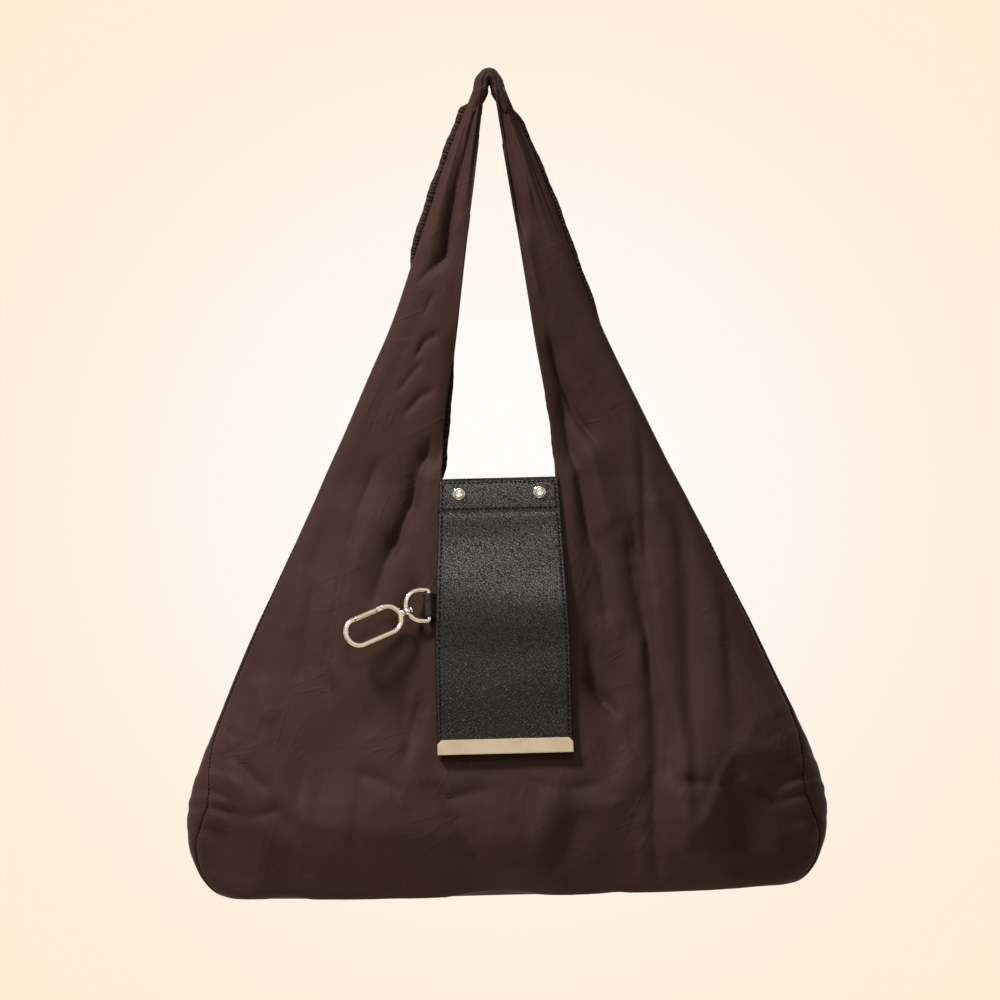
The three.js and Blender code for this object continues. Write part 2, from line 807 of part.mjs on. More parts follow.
function boxSolid(x0, x1, y, height, thickness) {
  return solidOf(new THREE.BoxGeometry(x1 - x0, height, thickness), moved((x0 + x1) / 2, y, 0));
}

// The oval frame, open along one side for the gate, with a fork for the gate's hinge.
function clipFrame() {
  const shape = stadium(new THREE.Shape(), clipLength / 2, clipHalfWidth);
  shape.holes.push(stadium(new THREE.Path(), clipLength / 2 - clipWire, clipHalfWidth - clipWire));
  const overall = 2 * clipWire;
  const forkEnd = gateX + gateForkReach;
  const gateEnd = gateX + gateLength + fitGap;
  const neck = rod(clipNeckRadius, clipNeckLength + clipWire / 2).rotateZ(Math.PI / 2);
  const pinBore = rod(swivelPinRadius + fitGap, 2 * (pinEnd - neckStart)).rotateZ(Math.PI / 2);
  const slotStart = gateX - gateKnuckleRadius - fitGap;
  return geometryOf(
    solidOf(slab(shape, clipWire, 0.8), moved(clipMiddle, 0, -clipWire / 2))
      .add(solidOf(neck, moved(neckStart + (clipNeckLength + clipWire / 2) / 2, 0, 0)))
      .subtract(solidOf(pinBore, moved(neckStart, 0, 0)))
      .subtract(boxSolid(forkEnd, gateEnd, gateY, overall, overall))
      .subtract(boxSolid(slotStart, forkEnd + 1, gateY, overall, gateTongue + 2 * fitGap))
      .subtract(solidOf(rod(pinHole, overall).rotateX(Math.PI / 2), moved(gateX, gateY, 0))),
  );
}

// The gate in its own frame: hinge pin at the origin, free end along X, the clip's inside towards +Y.
function clipGate() {
  const start = gateStart;
  const half = clipWire / 2;
  const grooveFloor = half - 2 * gateSpringThickness;
  const body = polygon([
    [start, -half],
    [gateLength, -half],
    [gateLength, half],
    [start, half],
  ]);
  const tongue = new THREE.Shape()
    .absarc(0, 0, gateKnuckleRadius, Math.PI / 2, 1.5 * Math.PI, false)
    .lineTo(start + 1, -gateKnuckleRadius)
    .lineTo(start + 1, gateKnuckleRadius);
  tongue.holes.push(roundHole(0, 0, pinHole));
  const groove = boxSolid(
    start - 1,
    start + gateSpringLength + 2 * fitGap,
    grooveFloor + half,
    2 * half,
    gateSpringWidth + 2 * fitGap,
  );
  return geometryOf(
    solidOf(slab(body, clipWire, 0.6), moved(0, 0, -half))
      .add(solidOf(slab(tongue, gateTongue), moved(0, 0, -gateTongue / 2)))
      .subtract(groove),
  );
}

function gateSpring() {
  const start = gateStart + fitGap;
  const floor = clipWire / 2 - 2 * gateSpringThickness + fitGap;
  return new THREE.BoxGeometry(gateSpringLength, gateSpringThickness, gateSpringWidth).translate(
    start + gateSpringLength / 2,
    floor + gateSpringThickness / 2,
    0,
  );
}

// Assembly, from the base upwards; hinge groups sit on their axes

const bag = new THREE.Group();
bag.position.z = -loopHeight;

for (const [word, side] of snapSides) {
  bag.add(named(`${word}_gusset`, clothSheet(bodyHeights, (z) => gussetRow(z, side)), cloth));
  bag.add(named(`${word}_strap`, clothSheet(strapHeights, (z) => strapRow(z, side)), cloth));
  bag.add(named(`${word}_strap_elastic`, elasticEdge(side), hem));
}
bag.add(named("back_panel", clothSheet(bodyHeights, backRow), cloth));
bag.add(named("base_panel", basePanel(), cloth));
bag.add(named("strap_crown", crown(), cloth));

const front = clothPlane(-1);
bag.add(named("front_panel", frontPanel(front.plane), cloth));
bag.add(front.turn);
front.plane.add(named("mouth_band", mouthBand(), leather));
front.plane.add(named("band_backing", bandBacking(), lining));
front.plane.add(...bandSnaps());

const back = clothPlane(1);
bag.add(back.turn);
back.plane.add(named("back_mouth_binding", backBinding(), hem));

// The sockets behind the flap rest on the cloth, so the flap leans out a little further than the front.
const socketStand = socketHeight + fitGap;
const flapHinge = new THREE.Group();
flapHinge.name = "flap_hinge";
flapHinge.position.set(0, -bandHeight - fitGap / 2, bandFace);
flapHinge.rotation.x = -Math.asin(socketStand / (upperLength + socketDown - socketRadius));
front.plane.add(flapHinge);
flapHinge.add(named("flap_upper_leather", outerLayer(upperShape()), leather));
flapHinge.add(named("flap_upper_lining", innerLayer(upperShape()), lining));

const foldHinge = new THREE.Group();
foldHinge.name = "fold_hinge";
foldHinge.position.y = -upperLength;
flapHinge.add(foldHinge);
foldHinge.add(named("flap_lower_leather", lowerLeather(), leather));
foldHinge.add(named("flap_lower_lining", lowerLining(), lining));
foldHinge.add(named("edge_bar", edgeBar(), gold));
foldHinge.add(...flapSnaps());

const tabSeat = new THREE.Group();
tabSeat.position.set(-flapHalfWidthAt(tabFromHinge) - tabReach, -tabFromHinge, tabRadius - flapThickness);
flapHinge.add(tabSeat);
tabSeat.add(named("clip_tab", clipTab(), leather));

const bowHinge = new THREE.Group();
bowHinge.name = "bow_hinge";
bowHinge.rotation.y = bowTilt;
tabSeat.add(bowHinge);
bowHinge.add(named("swivel_bow", swivelBow(), gold));

const swivel = new THREE.Group();
swivel.name = "swivel_axis";
swivel.position.x = -bowArcOffset;
swivel.rotation.z = Math.PI + swivelDroop;
bowHinge.add(swivel);
swivel.add(named("swivel_pin", swivelPin(), gold));
swivel.add(named("clip_frame", clipFrame(), gold));
const gatePin = named("gate_pin", rod(gatePinRadius, clipWire).rotateX(Math.PI / 2), gold);
gatePin.position.set(gateX, gateY, 0);
swivel.add(gatePin);

const gateHinge = new THREE.Group();
gateHinge.name = "gate_hinge";
gateHinge.position.set(gateX, gateY, 0);
swivel.add(gateHinge);
gateHinge.add(named("clip_gate", clipGate(), gold));
gateHinge.add(named("gate_spring", gateSpring(), gold));

export default bag;
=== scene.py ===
"""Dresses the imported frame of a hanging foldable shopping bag.

The cloth, the leather strip, its stitching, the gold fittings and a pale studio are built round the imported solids, in
the same frame: +X to the right, +Y away from the viewer, +Z up, the origin under the crown of the carrying loop.
Sizes are in millimetres, with heights measured from the bag's base, and are turned into metres as pieces are placed.
"""

from __future__ import annotations

import logging
import math
from dataclasses import dataclass, field
from enum import Enum
from typing import Any, Callable, Iterable, Sequence

import bmesh
import bpy
import numpy as np
from mathutils import Matrix, Vector


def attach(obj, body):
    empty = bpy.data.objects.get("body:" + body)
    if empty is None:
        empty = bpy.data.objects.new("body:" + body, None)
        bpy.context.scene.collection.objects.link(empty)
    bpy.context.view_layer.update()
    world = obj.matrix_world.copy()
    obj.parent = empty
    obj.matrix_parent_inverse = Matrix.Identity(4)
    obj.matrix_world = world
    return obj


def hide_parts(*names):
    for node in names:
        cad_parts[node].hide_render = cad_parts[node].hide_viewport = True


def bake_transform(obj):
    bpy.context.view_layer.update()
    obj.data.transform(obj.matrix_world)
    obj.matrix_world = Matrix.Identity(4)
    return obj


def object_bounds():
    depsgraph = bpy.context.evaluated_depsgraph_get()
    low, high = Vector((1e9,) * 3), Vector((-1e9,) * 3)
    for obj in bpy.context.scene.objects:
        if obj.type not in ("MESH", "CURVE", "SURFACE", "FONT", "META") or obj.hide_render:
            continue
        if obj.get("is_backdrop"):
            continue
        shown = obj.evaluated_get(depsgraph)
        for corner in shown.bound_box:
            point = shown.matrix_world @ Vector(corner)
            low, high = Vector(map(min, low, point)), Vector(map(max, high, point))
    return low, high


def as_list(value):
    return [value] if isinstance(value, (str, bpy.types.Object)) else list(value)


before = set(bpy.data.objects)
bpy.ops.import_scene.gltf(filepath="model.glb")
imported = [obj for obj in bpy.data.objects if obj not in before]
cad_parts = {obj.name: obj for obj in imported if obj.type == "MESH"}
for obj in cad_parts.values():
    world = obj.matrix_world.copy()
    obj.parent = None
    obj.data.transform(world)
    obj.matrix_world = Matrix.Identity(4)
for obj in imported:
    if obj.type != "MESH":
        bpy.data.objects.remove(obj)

LOG = logging.getLogger("bag")
CAD_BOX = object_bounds()
MM = 0.001
LOOP_HEIGHT = 480.0
FLAP_LEAN = math.asin(0.204406)
FULL_TURN = 2 * math.pi

Array = np.ndarray
Colour = tuple[float, float, float, float]
Place = Callable[[Array, Array], Array]


class Body(str, Enum):
    """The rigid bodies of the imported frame."""

    HANDLE = "handle"
    BAG = "bag"
    FLAP_UPPER = "flap_upper"
    FLAP_LOWER = "flap_lower"
    BOW = "swivel_bow"
    CLIP = "clip"
    GATE = "gate"


class Slot(str, Enum):
    """The record's material slots."""

    CLOTH = "cloth"
    HEM = "hem_tape"
    LEATHER = "leather"
    LINING = "leather_lining"
    GOLD = "gold_metal"


def srgb(red: float, green: float, blue: float) -> Colour:
    """A colour written in 0 to 255 screen values, as linear light.

    Args:
        red: Red, 0 to 255.
        green: Green, 0 to 255.
        blue: Blue, 0 to 255.

    Returns:
        The linear colour with an alpha of 1.
    """

    def linear(value: float) -> float:
        """One channel as linear light."""
        share = value / 255
        return share / 12.92 if share <= 0.04045 else ((share + 0.055) / 1.055) ** 2.4

    return (linear(red), linear(green), linear(blue), 1.0)


class Sock:
    """An output socket that takes part in Python arithmetic."""

    def __init__(self, shader: Shader, socket: bpy.types.NodeSocket) -> None:
        """Keeps the socket and the shader it belongs to."""
        self.shader = shader
        self.socket = socket

    def _math(self, operation: str, first: Any, second: Any) -> Sock:
        """A Math node on two values."""
        return self.shader.node("ShaderNodeMath", {"operation": operation}, {0: first, 1: second})

    def __add__(self, other: Any) -> Sock:
        """Sum."""
        return self._math("ADD", self, other)

    __radd__ = __add__

    def __sub__(self, other: Any) -> Sock:
        """Difference."""
        return self._math("SUBTRACT", self, other)

    def __rsub__(self, other: Any) -> Sock:
        """Difference, reflected."""
        return self._math("SUBTRACT", other, self)

    def __mul__(self, other: Any) -> Sock:
        """Product."""
        return self._math("MULTIPLY", self, other)

    __rmul__ = __mul__

    def __abs__(self) -> Sock:
        """Size without sign."""
        return self._math("ABSOLUTE", self, 0.0)

    def __pow__(self, other: Any) -> Sock:
        """Power."""
        return self._math("POWER", self, other)

    def above(self, low: float, high: float) -> Sock:
        """A smooth 0 to 1 step of this value between two levels.

        Args:
            low: Level that gives 0.
            high: Level that gives 1.

        Returns:
            The step.
        """
        return self.shader.node(
            "ShaderNodeMapRange",
            {"interpolation_type": "SMOOTHSTEP"},
            {"Value": self, "From Min": low, "From Max": high},
        )


class Shader:
    """One material and its node tree."""

    def __init__(self, name: str) -> None:
        """Starts an empty node material."""
        self.material = bpy.data.materials.new(name)
        self.material.use_nodes = True
        self.tree = self.material.node_tree
        self.tree.nodes.clear()

    def node(
        self,
        kind: str,
        settings: dict[str, Any] | None = None,
        inputs: dict[Any, Any] | None = None,
        out: Any = 0,
    ) -> Sock:
        """Adds any node.

        Args:
            kind: The node's type.
            settings: Its properties; "stops" holds a ramp's (place, colour) pairs.
            inputs: Values or sockets for its inputs, by name or number.
            out: The output that is wanted, by name or number.

        Returns:
            That output.
        """
        made = self.tree.nodes.new(kind)
        for key, value in (settings or {}).items():
            if key == "stops":
                elements = made.color_ramp.elements
                for number, (place, colour) in enumerate(value):
                    element = elements[number] if number < 2 else elements.new(place)
                    element.position = place
                    element.color = colour
            else:
                setattr(made, key, value)
        for key, value in (inputs or {}).items():
            if isinstance(value, Sock):
                self.tree.links.new(value.socket, made.inputs[key])
            else:
                made.inputs[key].default_value = value
        return Sock(self, made.outputs[out] if made.outputs else None)

    def place(self, stretch: Sequence[float] = (1.0, 1.0, 1.0)) -> Sock:
        """Object coordinates, scaled along each axis.

        Args:
            stretch: Scale of the pattern along each axis.

        Returns:
            The coordinate.
        """
        at = self.node("ShaderNodeTexCoord", out="Object")
        return self.node("ShaderNodeMapping", None, {"Vector": at, "Scale": stretch})

    def drawn_out(self, turn: float, length: float) -> Sock:
        """Object coordinates turned about Y and then drawn out along Z.

        Args:
            turn: Turn about Y, in radians.
            length: How many times longer the pattern gets.

        Returns:
            The coordinate.
        """
        at = self.node("ShaderNodeTexCoord", out="Object")
        values = {"Vector": at, "Rotation": (0, turn, 0), "Scale": (1, 1, length)}
        return self.node("ShaderNodeMapping", {"vector_type": "TEXTURE"}, values)

    def noise(self, at: Sock, scale: float, detail: float = 4.0, rough: float = 0.5, bend: float = 0.0) -> Sock:
        """A noise value from 0 to 1.

        Args:
            at: Coordinate.
            scale: Cycles per metre.
            detail: Octaves.
            rough: Strength of the finer octaves.
            bend: Distortion.

        Returns:
            The noise.
        """
        values = {"Vector": at, "Scale": scale, "Detail": detail, "Roughness": rough, "Distortion": bend}
        return self.node("ShaderNodeTexNoise", None, values)

    def mix(self, factor: Any, first: Any, second: Any) -> Sock:
        """A colour between two colours.

        Args:
            factor: 0 gives the first colour and 1 the second.
            first: First colour.
            second: Second colour.

        Returns:
            The mixed colour.
        """
        return self.node("ShaderNodeMix", {"data_type": "RGBA"}, {0: factor, 6: first, 7: second}, 2)

    def bump(self, height: Sock, depth: float, strength: float = 1.0, under: Sock | None = None) -> Sock:
        """A bumped normal.

        Args:
            height: Height from 0 to 1.
            depth: What a height of 1 stands for, in metres.
            strength: Share of the effect.
            under: Normal of a coarser bump below this one.

        Returns:
            The normal.
        """
        values: dict[str, Any] = {"Height": height, "Distance": depth, "Strength": strength}
        if under is not None:
            values["Normal"] = under
        return self.node("ShaderNodeBump", None, values)

    def surface(self, inputs: dict[str, Any]) -> bpy.types.Material:
        """Ends the material in a Principled surface.

        Args:
            inputs: The surface's values and links.

        Returns:
            The finished material.
        """
        closure = self.node("ShaderNodeBsdfPrincipled", None, inputs)
        self.node("ShaderNodeOutputMaterial", None, {"Surface": closure})
        return self.material


@dataclass(frozen=True)
class NylonFinish:
    """Thin smooth nylon with a soft sheen and fine crinkles."""

    name: str
    base: Colour
    lit: Colour
    rough: float = 0.64
    crinkle: float = 0.0008
    line: float = 0.0004
    line_length: float = 5.5
    line_layers: tuple[tuple[float, float], ...] = ((0.42, 21), (-0.38, 24), (1.2, 27))

    def material(self) -> bpy.types.Material:
        """Builds the cloth's material."""
        s = Shader(self.name)
        at = s.place()
        cloud = s.noise(at, 7, 3)
        crease = s.noise(s.place((1.0, 1.0, 0.5)), 55, 5, 0.55, 0.6)
        fine = s.noise(at, 420, 3, 0.6)
        weave = s.noise(s.place((1.0, 1.0, 0.12)), 2600, 1)
        wear = cloud.above(0.38, 0.66) * 0.6 + fine.above(0.35, 0.7) * 0.18
        normal = s.bump(crease, self.crinkle, 0.2)
        for turn, patch_scale in self.line_layers:
            thin = 1 - abs(s.noise(s.drawn_out(turn, self.line_length), 80, 2, 0.5, 0.3) * 2 - 1)
            patch = s.noise(at, patch_scale, 2).above(0.5, 0.68)
            normal = s.bump(thin.above(0.84, 1.0) * patch, self.line, 0.5, normal)
        normal = s.bump(fine, 0.00014, 0.35, normal)
        normal = s.bump(weave, 0.00003, 0.35, normal)
        return s.surface(
            {
                "Base Color": s.mix(wear, self.base, self.lit),
                "Roughness": self.rough + 0.1 * crease - 0.05,
                "Specular IOR Level": 0.1,
                "Normal": normal,
            }
        )


@dataclass(frozen=True)
class LeatherFinish:
    """Pebbled leather with a satin topcoat and painted shade in the grooves between its pebbles."""

    name: str
    base: Colour
    unshaded_tops_and_mottle: Colour
    pebble: float = 700.0
    depth: float = 0.00018
    rough: float = 0.3
    coat: float = 0.7
    drift: float = 0.0018
    dull_from: float = -0.315
    dull_to: float = -0.365
    dull_share: float = 0.15

    def material(self) -> bpy.types.Material:
        """Builds the leather's material, duller toward the strip's lower end."""
        s = Shader(self.name)
        at = s.place()
        height = s.node("ShaderNodeSeparateXYZ", None, {0: at}, "Z")
        sheen = height.above(self.dull_to, self.dull_from) * (1 - self.dull_share) + self.dull_share
        drift = s.node("ShaderNodeTexNoise", None, {"Vector": at, "Scale": 260, "Detail": 2}, "Color")
        moved = {0: drift, 1: (self.drift,) * 3, 2: at}
        warped = s.node("ShaderNodeVectorMath", {"operation": "MULTIPLY_ADD"}, moved)
        values = {"Vector": warped, "Scale": self.pebble, "Randomness": 0.95}
        cells = s.node("ShaderNodeTexVoronoi", {"feature": "DISTANCE_TO_EDGE"}, values, "Distance")
        small = s.noise(at, 1100, 3)
        pull = s.noise(s.place((0.5, 1.0, 1.0)), 60, 4)
        pebble = cells.above(0.0, 0.3) ** 0.7
        normal = s.bump(pull, 0.0005, 0.3)
        normal = s.bump(pebble, self.depth, 0.9, normal)
        normal = s.bump(small, 0.00004, 0.4, normal)
        # Painted shade: the grooves between the pebbles take the darker base colour and the pebble tops the lighter
        # one, with a random mottle from the pull noise mixed in.
        tone = pebble * 0.6 + pull.above(0.4, 0.75) * 0.4
        return s.surface(
            {
                "Base Color": s.mix(tone, self.base, self.unshaded_tops_and_mottle),
                "Roughness": self.rough + 0.16 - 0.14 * pebble + 0.06 * pull,
                "Specular IOR Level": 0.22,
                "Coat Weight": (pebble + small - 0.5).above(0.1, 0.8) * sheen * self.coat,
                "Coat Roughness": 0.34,
                "Normal": normal,
            }
        )


@dataclass(frozen=True)
class GoldFinish:
    """Polished pale gold plating with faint brushing and handling haze."""

    name: str
    base: Colour
    shade: Colour
    rough: float = 0.1

    def material(self) -> bpy.types.Material:
        """Builds the plating's material."""
        s = Shader(self.name)
        at = s.place()
        haze = s.noise(at, 90, 4)
        brush = s.noise(s.place((0.06, 1.0, 1.0)), 2400, 2)
        normal = s.bump(brush, 0.00001, 0.35)
        return s.surface(
            {
                "Base Color": s.mix(haze.above(0.35, 0.75), self.base, self.shade),
                "Metallic": 1.0,
                "Roughness": self.rough + 0.1 * haze.above(0.4, 0.8),
                "Normal": normal,
            }
        )


@dataclass(frozen=True)
class ThreadFinish:
    """Twisted polyester thread."""

    name: str
    base: Colour
    lit: Colour

    def material(self) -> bpy.types.Material:
        """Builds the thread's material."""
        s = Shader(self.name)
        twist = s.noise(s.place((1.0, 1.0, 0.4)), 2600, 2)
        values = {
            "Base Color": s.mix(twist.above(0.35, 0.65), self.base, self.lit),
            "Roughness": 0.55 + 0.1 * twist,
            "Specular IOR Level": 0.1,
            "Normal": s.bump(twist, 0.00008, 0.6),
        }
        return s.surface(values)


@dataclass(frozen=True)
class Finishes:
    """Every finish of the bag, built once."""

    nylon: bpy.types.Material
    hem: bpy.types.Material
    leather: bpy.types.Material
    lining: bpy.types.Material
    gold: bpy.types.Material
    cast: bpy.types.Material
    thread: bpy.types.Material

    @staticmethod
    def make() -> Finishes:
        """Builds the bag's materials."""
        return Finishes(
            nylon=NylonFinish("nylon_cloth", srgb(62, 43, 37), srgb(71, 51, 45)).material(),
            hem=NylonFinish("nylon_gathered", srgb(50, 35, 30), srgb(68, 48, 42), 0.62, 0.0005).material(),
            leather=LeatherFinish("pebbled_leather", srgb(9, 7, 6), srgb(34, 27, 23)).material(),
            lining=LeatherFinish("smooth_lining", srgb(26, 21, 18), srgb(36, 29, 26), 1500, 0.00005, 0.6).material(),
            gold=GoldFinish("pale_gold", srgb(234, 222, 199), srgb(216, 201, 174)).material(),
            cast=GoldFinish("polished_gold", srgb(252, 243, 232), srgb(240, 229, 214), 0.06).material(),
            thread=ThreadFinish("dark_thread", srgb(11, 8, 7), srgb(22, 17, 15)).material(),
        )


def in_frame(points: Array) -> Array:
    """Points in millimetres above the base, as metres in the frame.

    Args:
        points: Rows of x, y and height.

    Returns:
        The rows in the frame.
    """
    return (points - np.array((0.0, 0.0, LOOP_HEIGHT))) * MM


def smooth_step(value: Array) -> Array:
    """A smooth 0 to 1 step of a value that runs from 0 to 1."""
    t = np.clip(value, 0, 1)
    return t * t * (3 - 2 * t)


class Piece:
    """A bmesh on its way to a finished object; its points are metres in the frame."""

    def __init__(self, name: str) -> None:
        """Starts an empty piece."""
        self.name = name
        self.bm = bmesh.new()

    def grid(self, columns: int, rows: int, place: Place, closed: bool = False) -> Piece:
        """Adds a grid that is laid on a surface.

        Args:
            columns: Faces along u.
            rows: Faces along v.
            place: Takes u and v, both 0 to 1, and gives points in millimetres above the base.
            closed: Whether u comes round on itself.

        Returns:
            This piece.
        """
        made = bmesh.ops.create_grid(self.bm, x_segments=columns, y_segments=rows, size=0.5)
        verts = made["verts"]
        flat = np.array([v.co for v in verts])
        spots = in_frame(place(flat[:, 0] + 0.5, flat[:, 1] + 0.5))
        for vert, spot in zip(verts, spots):
            vert.co = spot
        if closed:
            bmesh.ops.remove_doubles(self.bm, verts=verts, dist=1e-6)
        return self

    def tube(self, path: Array, radius: Callable[[Array, Array], Array] | float, sides: int, closed: bool) -> Piece:
        """Adds a tube along a path.

        Args:
            path: Points in millimetres above the base.
            radius: The tube's radius, or a function of the section's angle and the path's share.
            sides: Sides of the section.
            closed: Whether the path comes round on itself.

        Returns:
            This piece.
        """
        count = len(path)
        ahead = np.roll(path, -1, 0) - np.roll(path, 1, 0)
        if not closed:
            ahead[0], ahead[-1] = path[1] - path[0], path[-1] - path[-2]
        ahead /= np.linalg.norm(ahead, axis=1)[:, None]
        spread = np.linalg.svd(path - path.mean(0))[2][2]
        side = np.cross(ahead, spread)
        side /= np.linalg.norm(side, axis=1)[:, None]
        up = np.cross(side, ahead)

        def place(u: Array, v: Array) -> Array:
            """Puts the grid's points round the path."""
            row = np.rint(v * (count if closed else count - 1)).astype(int) % count
            angle = u * 2 * math.pi
            size = radius(angle, v) if callable(radius) else np.full_like(u, radius)
            across, above = (size * np.cos(angle))[:, None], (size * np.sin(angle))[:, None]
            return path[row] + across * side[row] + above * up[row]

        self.grid(sides, count if closed else count - 1, place, True)
        if not closed:
            rim = [e for e in self.bm.edges if e.is_boundary]
            bmesh.ops.holes_fill(self.bm, edges=rim, sides=sides)
        bmesh.ops.recalc_face_normals(self.bm, faces=self.bm.faces[:])
        return self

    def turned(self, profile: Sequence[tuple[float, float]], place: Matrix, steps: int = 40) -> Piece:
        """Adds a turned solid.

        Args:
            profile: Radius and height pairs in millimetres, from the axis back to the axis or closed on itself.
            place: Takes the turned solid, about Z in millimetres, to the frame in metres.
            steps: Steps round the axis.

        Returns:
            This piece.
        """
        first = [self.bm.verts.new((radius, 0, height)) for radius, height in profile]
        edges = [self.bm.edges.new(pair) for pair in zip(first, first[1:])]
        if profile[0][0] > 0:
            edges.append(self.bm.edges.new((first[-1], first[0])))
        before = set(self.bm.verts) - set(first)
        bmesh.ops.spin(
            self.bm,
            geom=first + edges,
            cent=(0, 0, 0),
            axis=(0, 0, 1),
            angle=2 * math.pi,
            steps=steps,
            use_merge=True,
        )
        verts = [v for v in self.bm.verts if v not in before]
        bmesh.ops.remove_doubles(self.bm, verts=verts, dist=1e-4)
        verts = [v for v in self.bm.verts if v not in before]
        bmesh.ops.transform(self.bm, matrix=place, verts=verts)
        bmesh.ops.recalc_face_normals(self.bm, faces=self.bm.faces[:])
        return self

    def block(self, size: Sequence[float], place: Matrix, bevel: float) -> Piece:
        """Adds a bevelled block.

        Args:
            size: Its size in millimetres.
            place: Takes the block, centred, in millimetres, to the frame in metres.
            bevel: Bevel width in millimetres.

        Returns:
            This piece.
        """
        verts = bmesh.ops.create_cube(self.bm, size=1.0)["verts"]
        bmesh.ops.scale(self.bm, vec=size, verts=verts)
        edges = list({e for v in verts for e in v.link_edges})
        bevelled = bmesh.ops.bevel(
            self.bm, geom=edges, offset=bevel, segments=3, profile=0.5, affect="EDGES", material=-1
        )
        whole = list(set(bevelled["verts"]) | {v for v in verts if v.is_valid})
        bmesh.ops.transform(self.bm, matrix=place, verts=whole)
        return self

    def stitch(self, size: Sequence[float], rings: int, place: Matrix) -> None:
        """Adds one stitch.

        Args:
            size: Its half sizes in millimetres.
            rings: Rings of faces along it.
            place: Takes the stitch, along X in millimetres, to the frame in metres.
        """
        verts = bmesh.ops.create_uvsphere(self.bm, u_segments=8, v_segments=rings, radius=1.0)["verts"]
        bmesh.ops.scale(self.bm, vec=size, verts=verts)
        bmesh.ops.transform(self.bm, matrix=place, verts=verts)

    def placed(self, materials: Sequence[bpy.types.Material], smooth: bool = True) -> bpy.types.Object:
        """Turns the piece into an object in the scene.

        Args:
            materials: The object's material slots.
            smooth: Whether its faces are shaded smooth.

        Returns:
            The object.
        """
        mesh = bpy.data.meshes.new(self.name)
        self.bm.to_mesh(mesh)
        self.bm.free()
        for material in materials:
            mesh.materials.append(material)
        mesh.polygons.foreach_set("use_smooth", [smooth] * len(mesh.polygons))
        made = bpy.data.objects.new(self.name, mesh)
        bpy.context.scene.collection.objects.link(made)
        return made

    def done(self, materials: Sequence[bpy.types.Material], slot: Slot, smooth: bool = True) -> bpy.types.Object:
        """The finished object.

        Args:
            materials: The object's material slots.
            slot: Not used.
            smooth: Whether its faces are shaded smooth.

        Returns:
            The object.
        """
        made = self.placed(materials, smooth)
        return made


def carry(made: bpy.types.Object, body: Body, *nodes: str) -> bpy.types.Object:
    """Lets a piece ride on one body and stand for nodes.

    Args:
        made: The piece.
        body: What it rides on.
        nodes: The nodes it stands for, if any.

    Returns:
        The piece.
    """
    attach(made, body.value)
    if nodes:
        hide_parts(*nodes)
    return made


def thicken(made: bpy.types.Object, thickness: float, offset: float = -1.0) -> None:
    """Gives a sheet its thickness.

    Args:
        made: The sheet.
        thickness: Thickness in millimetres.
        offset: -1 grows it behind its faces and 1 before them.
    """
    solid = made.modifiers.new("thickness", "SOLIDIFY")
    solid.thickness = thickness * MM
    solid.offset = offset


def soften(made: bpy.types.Object, width: float) -> None:
    """Rounds a piece's sharp edges.

    Args:
        made: The piece.
        width: Bevel width in millimetres.
    """
    bevel = made.modifiers.new("edges", "BEVEL")
    bevel.width = width * MM
    bevel.segments = 3
    bevel.limit_method = "ANGLE"
    bevel.angle_limit = math.radians(40)


@dataclass(frozen=True)
class HeightCurve:
    """A smooth value over height through (height, value) knots."""

    knots: tuple[tuple[float, float], ...]

    def __call__(self, h: Array) -> Array:
        """The value at each height."""
        zs, vs = np.array(self.knots).T
        slopes = np.gradient(vs, zs)
        slopes[1:-1] = (vs[2:] - vs[:-2]) / (zs[2:] - zs[:-2])
        slopes[0] = 0.0
        i = np.clip(np.searchsorted(zs, h, side="right") - 1, 0, len(zs) - 2)
        span = zs[i + 1] - zs[i]
        t = (h - zs[i]) / span
        rise = t * t * (3 - 2 * t)
        bend = slopes[i] * t * (1 - t) ** 2 - slopes[i + 1] * t * t * (1 - t)
        return vs[i] + (vs[i + 1] - vs[i]) * rise + span * bend


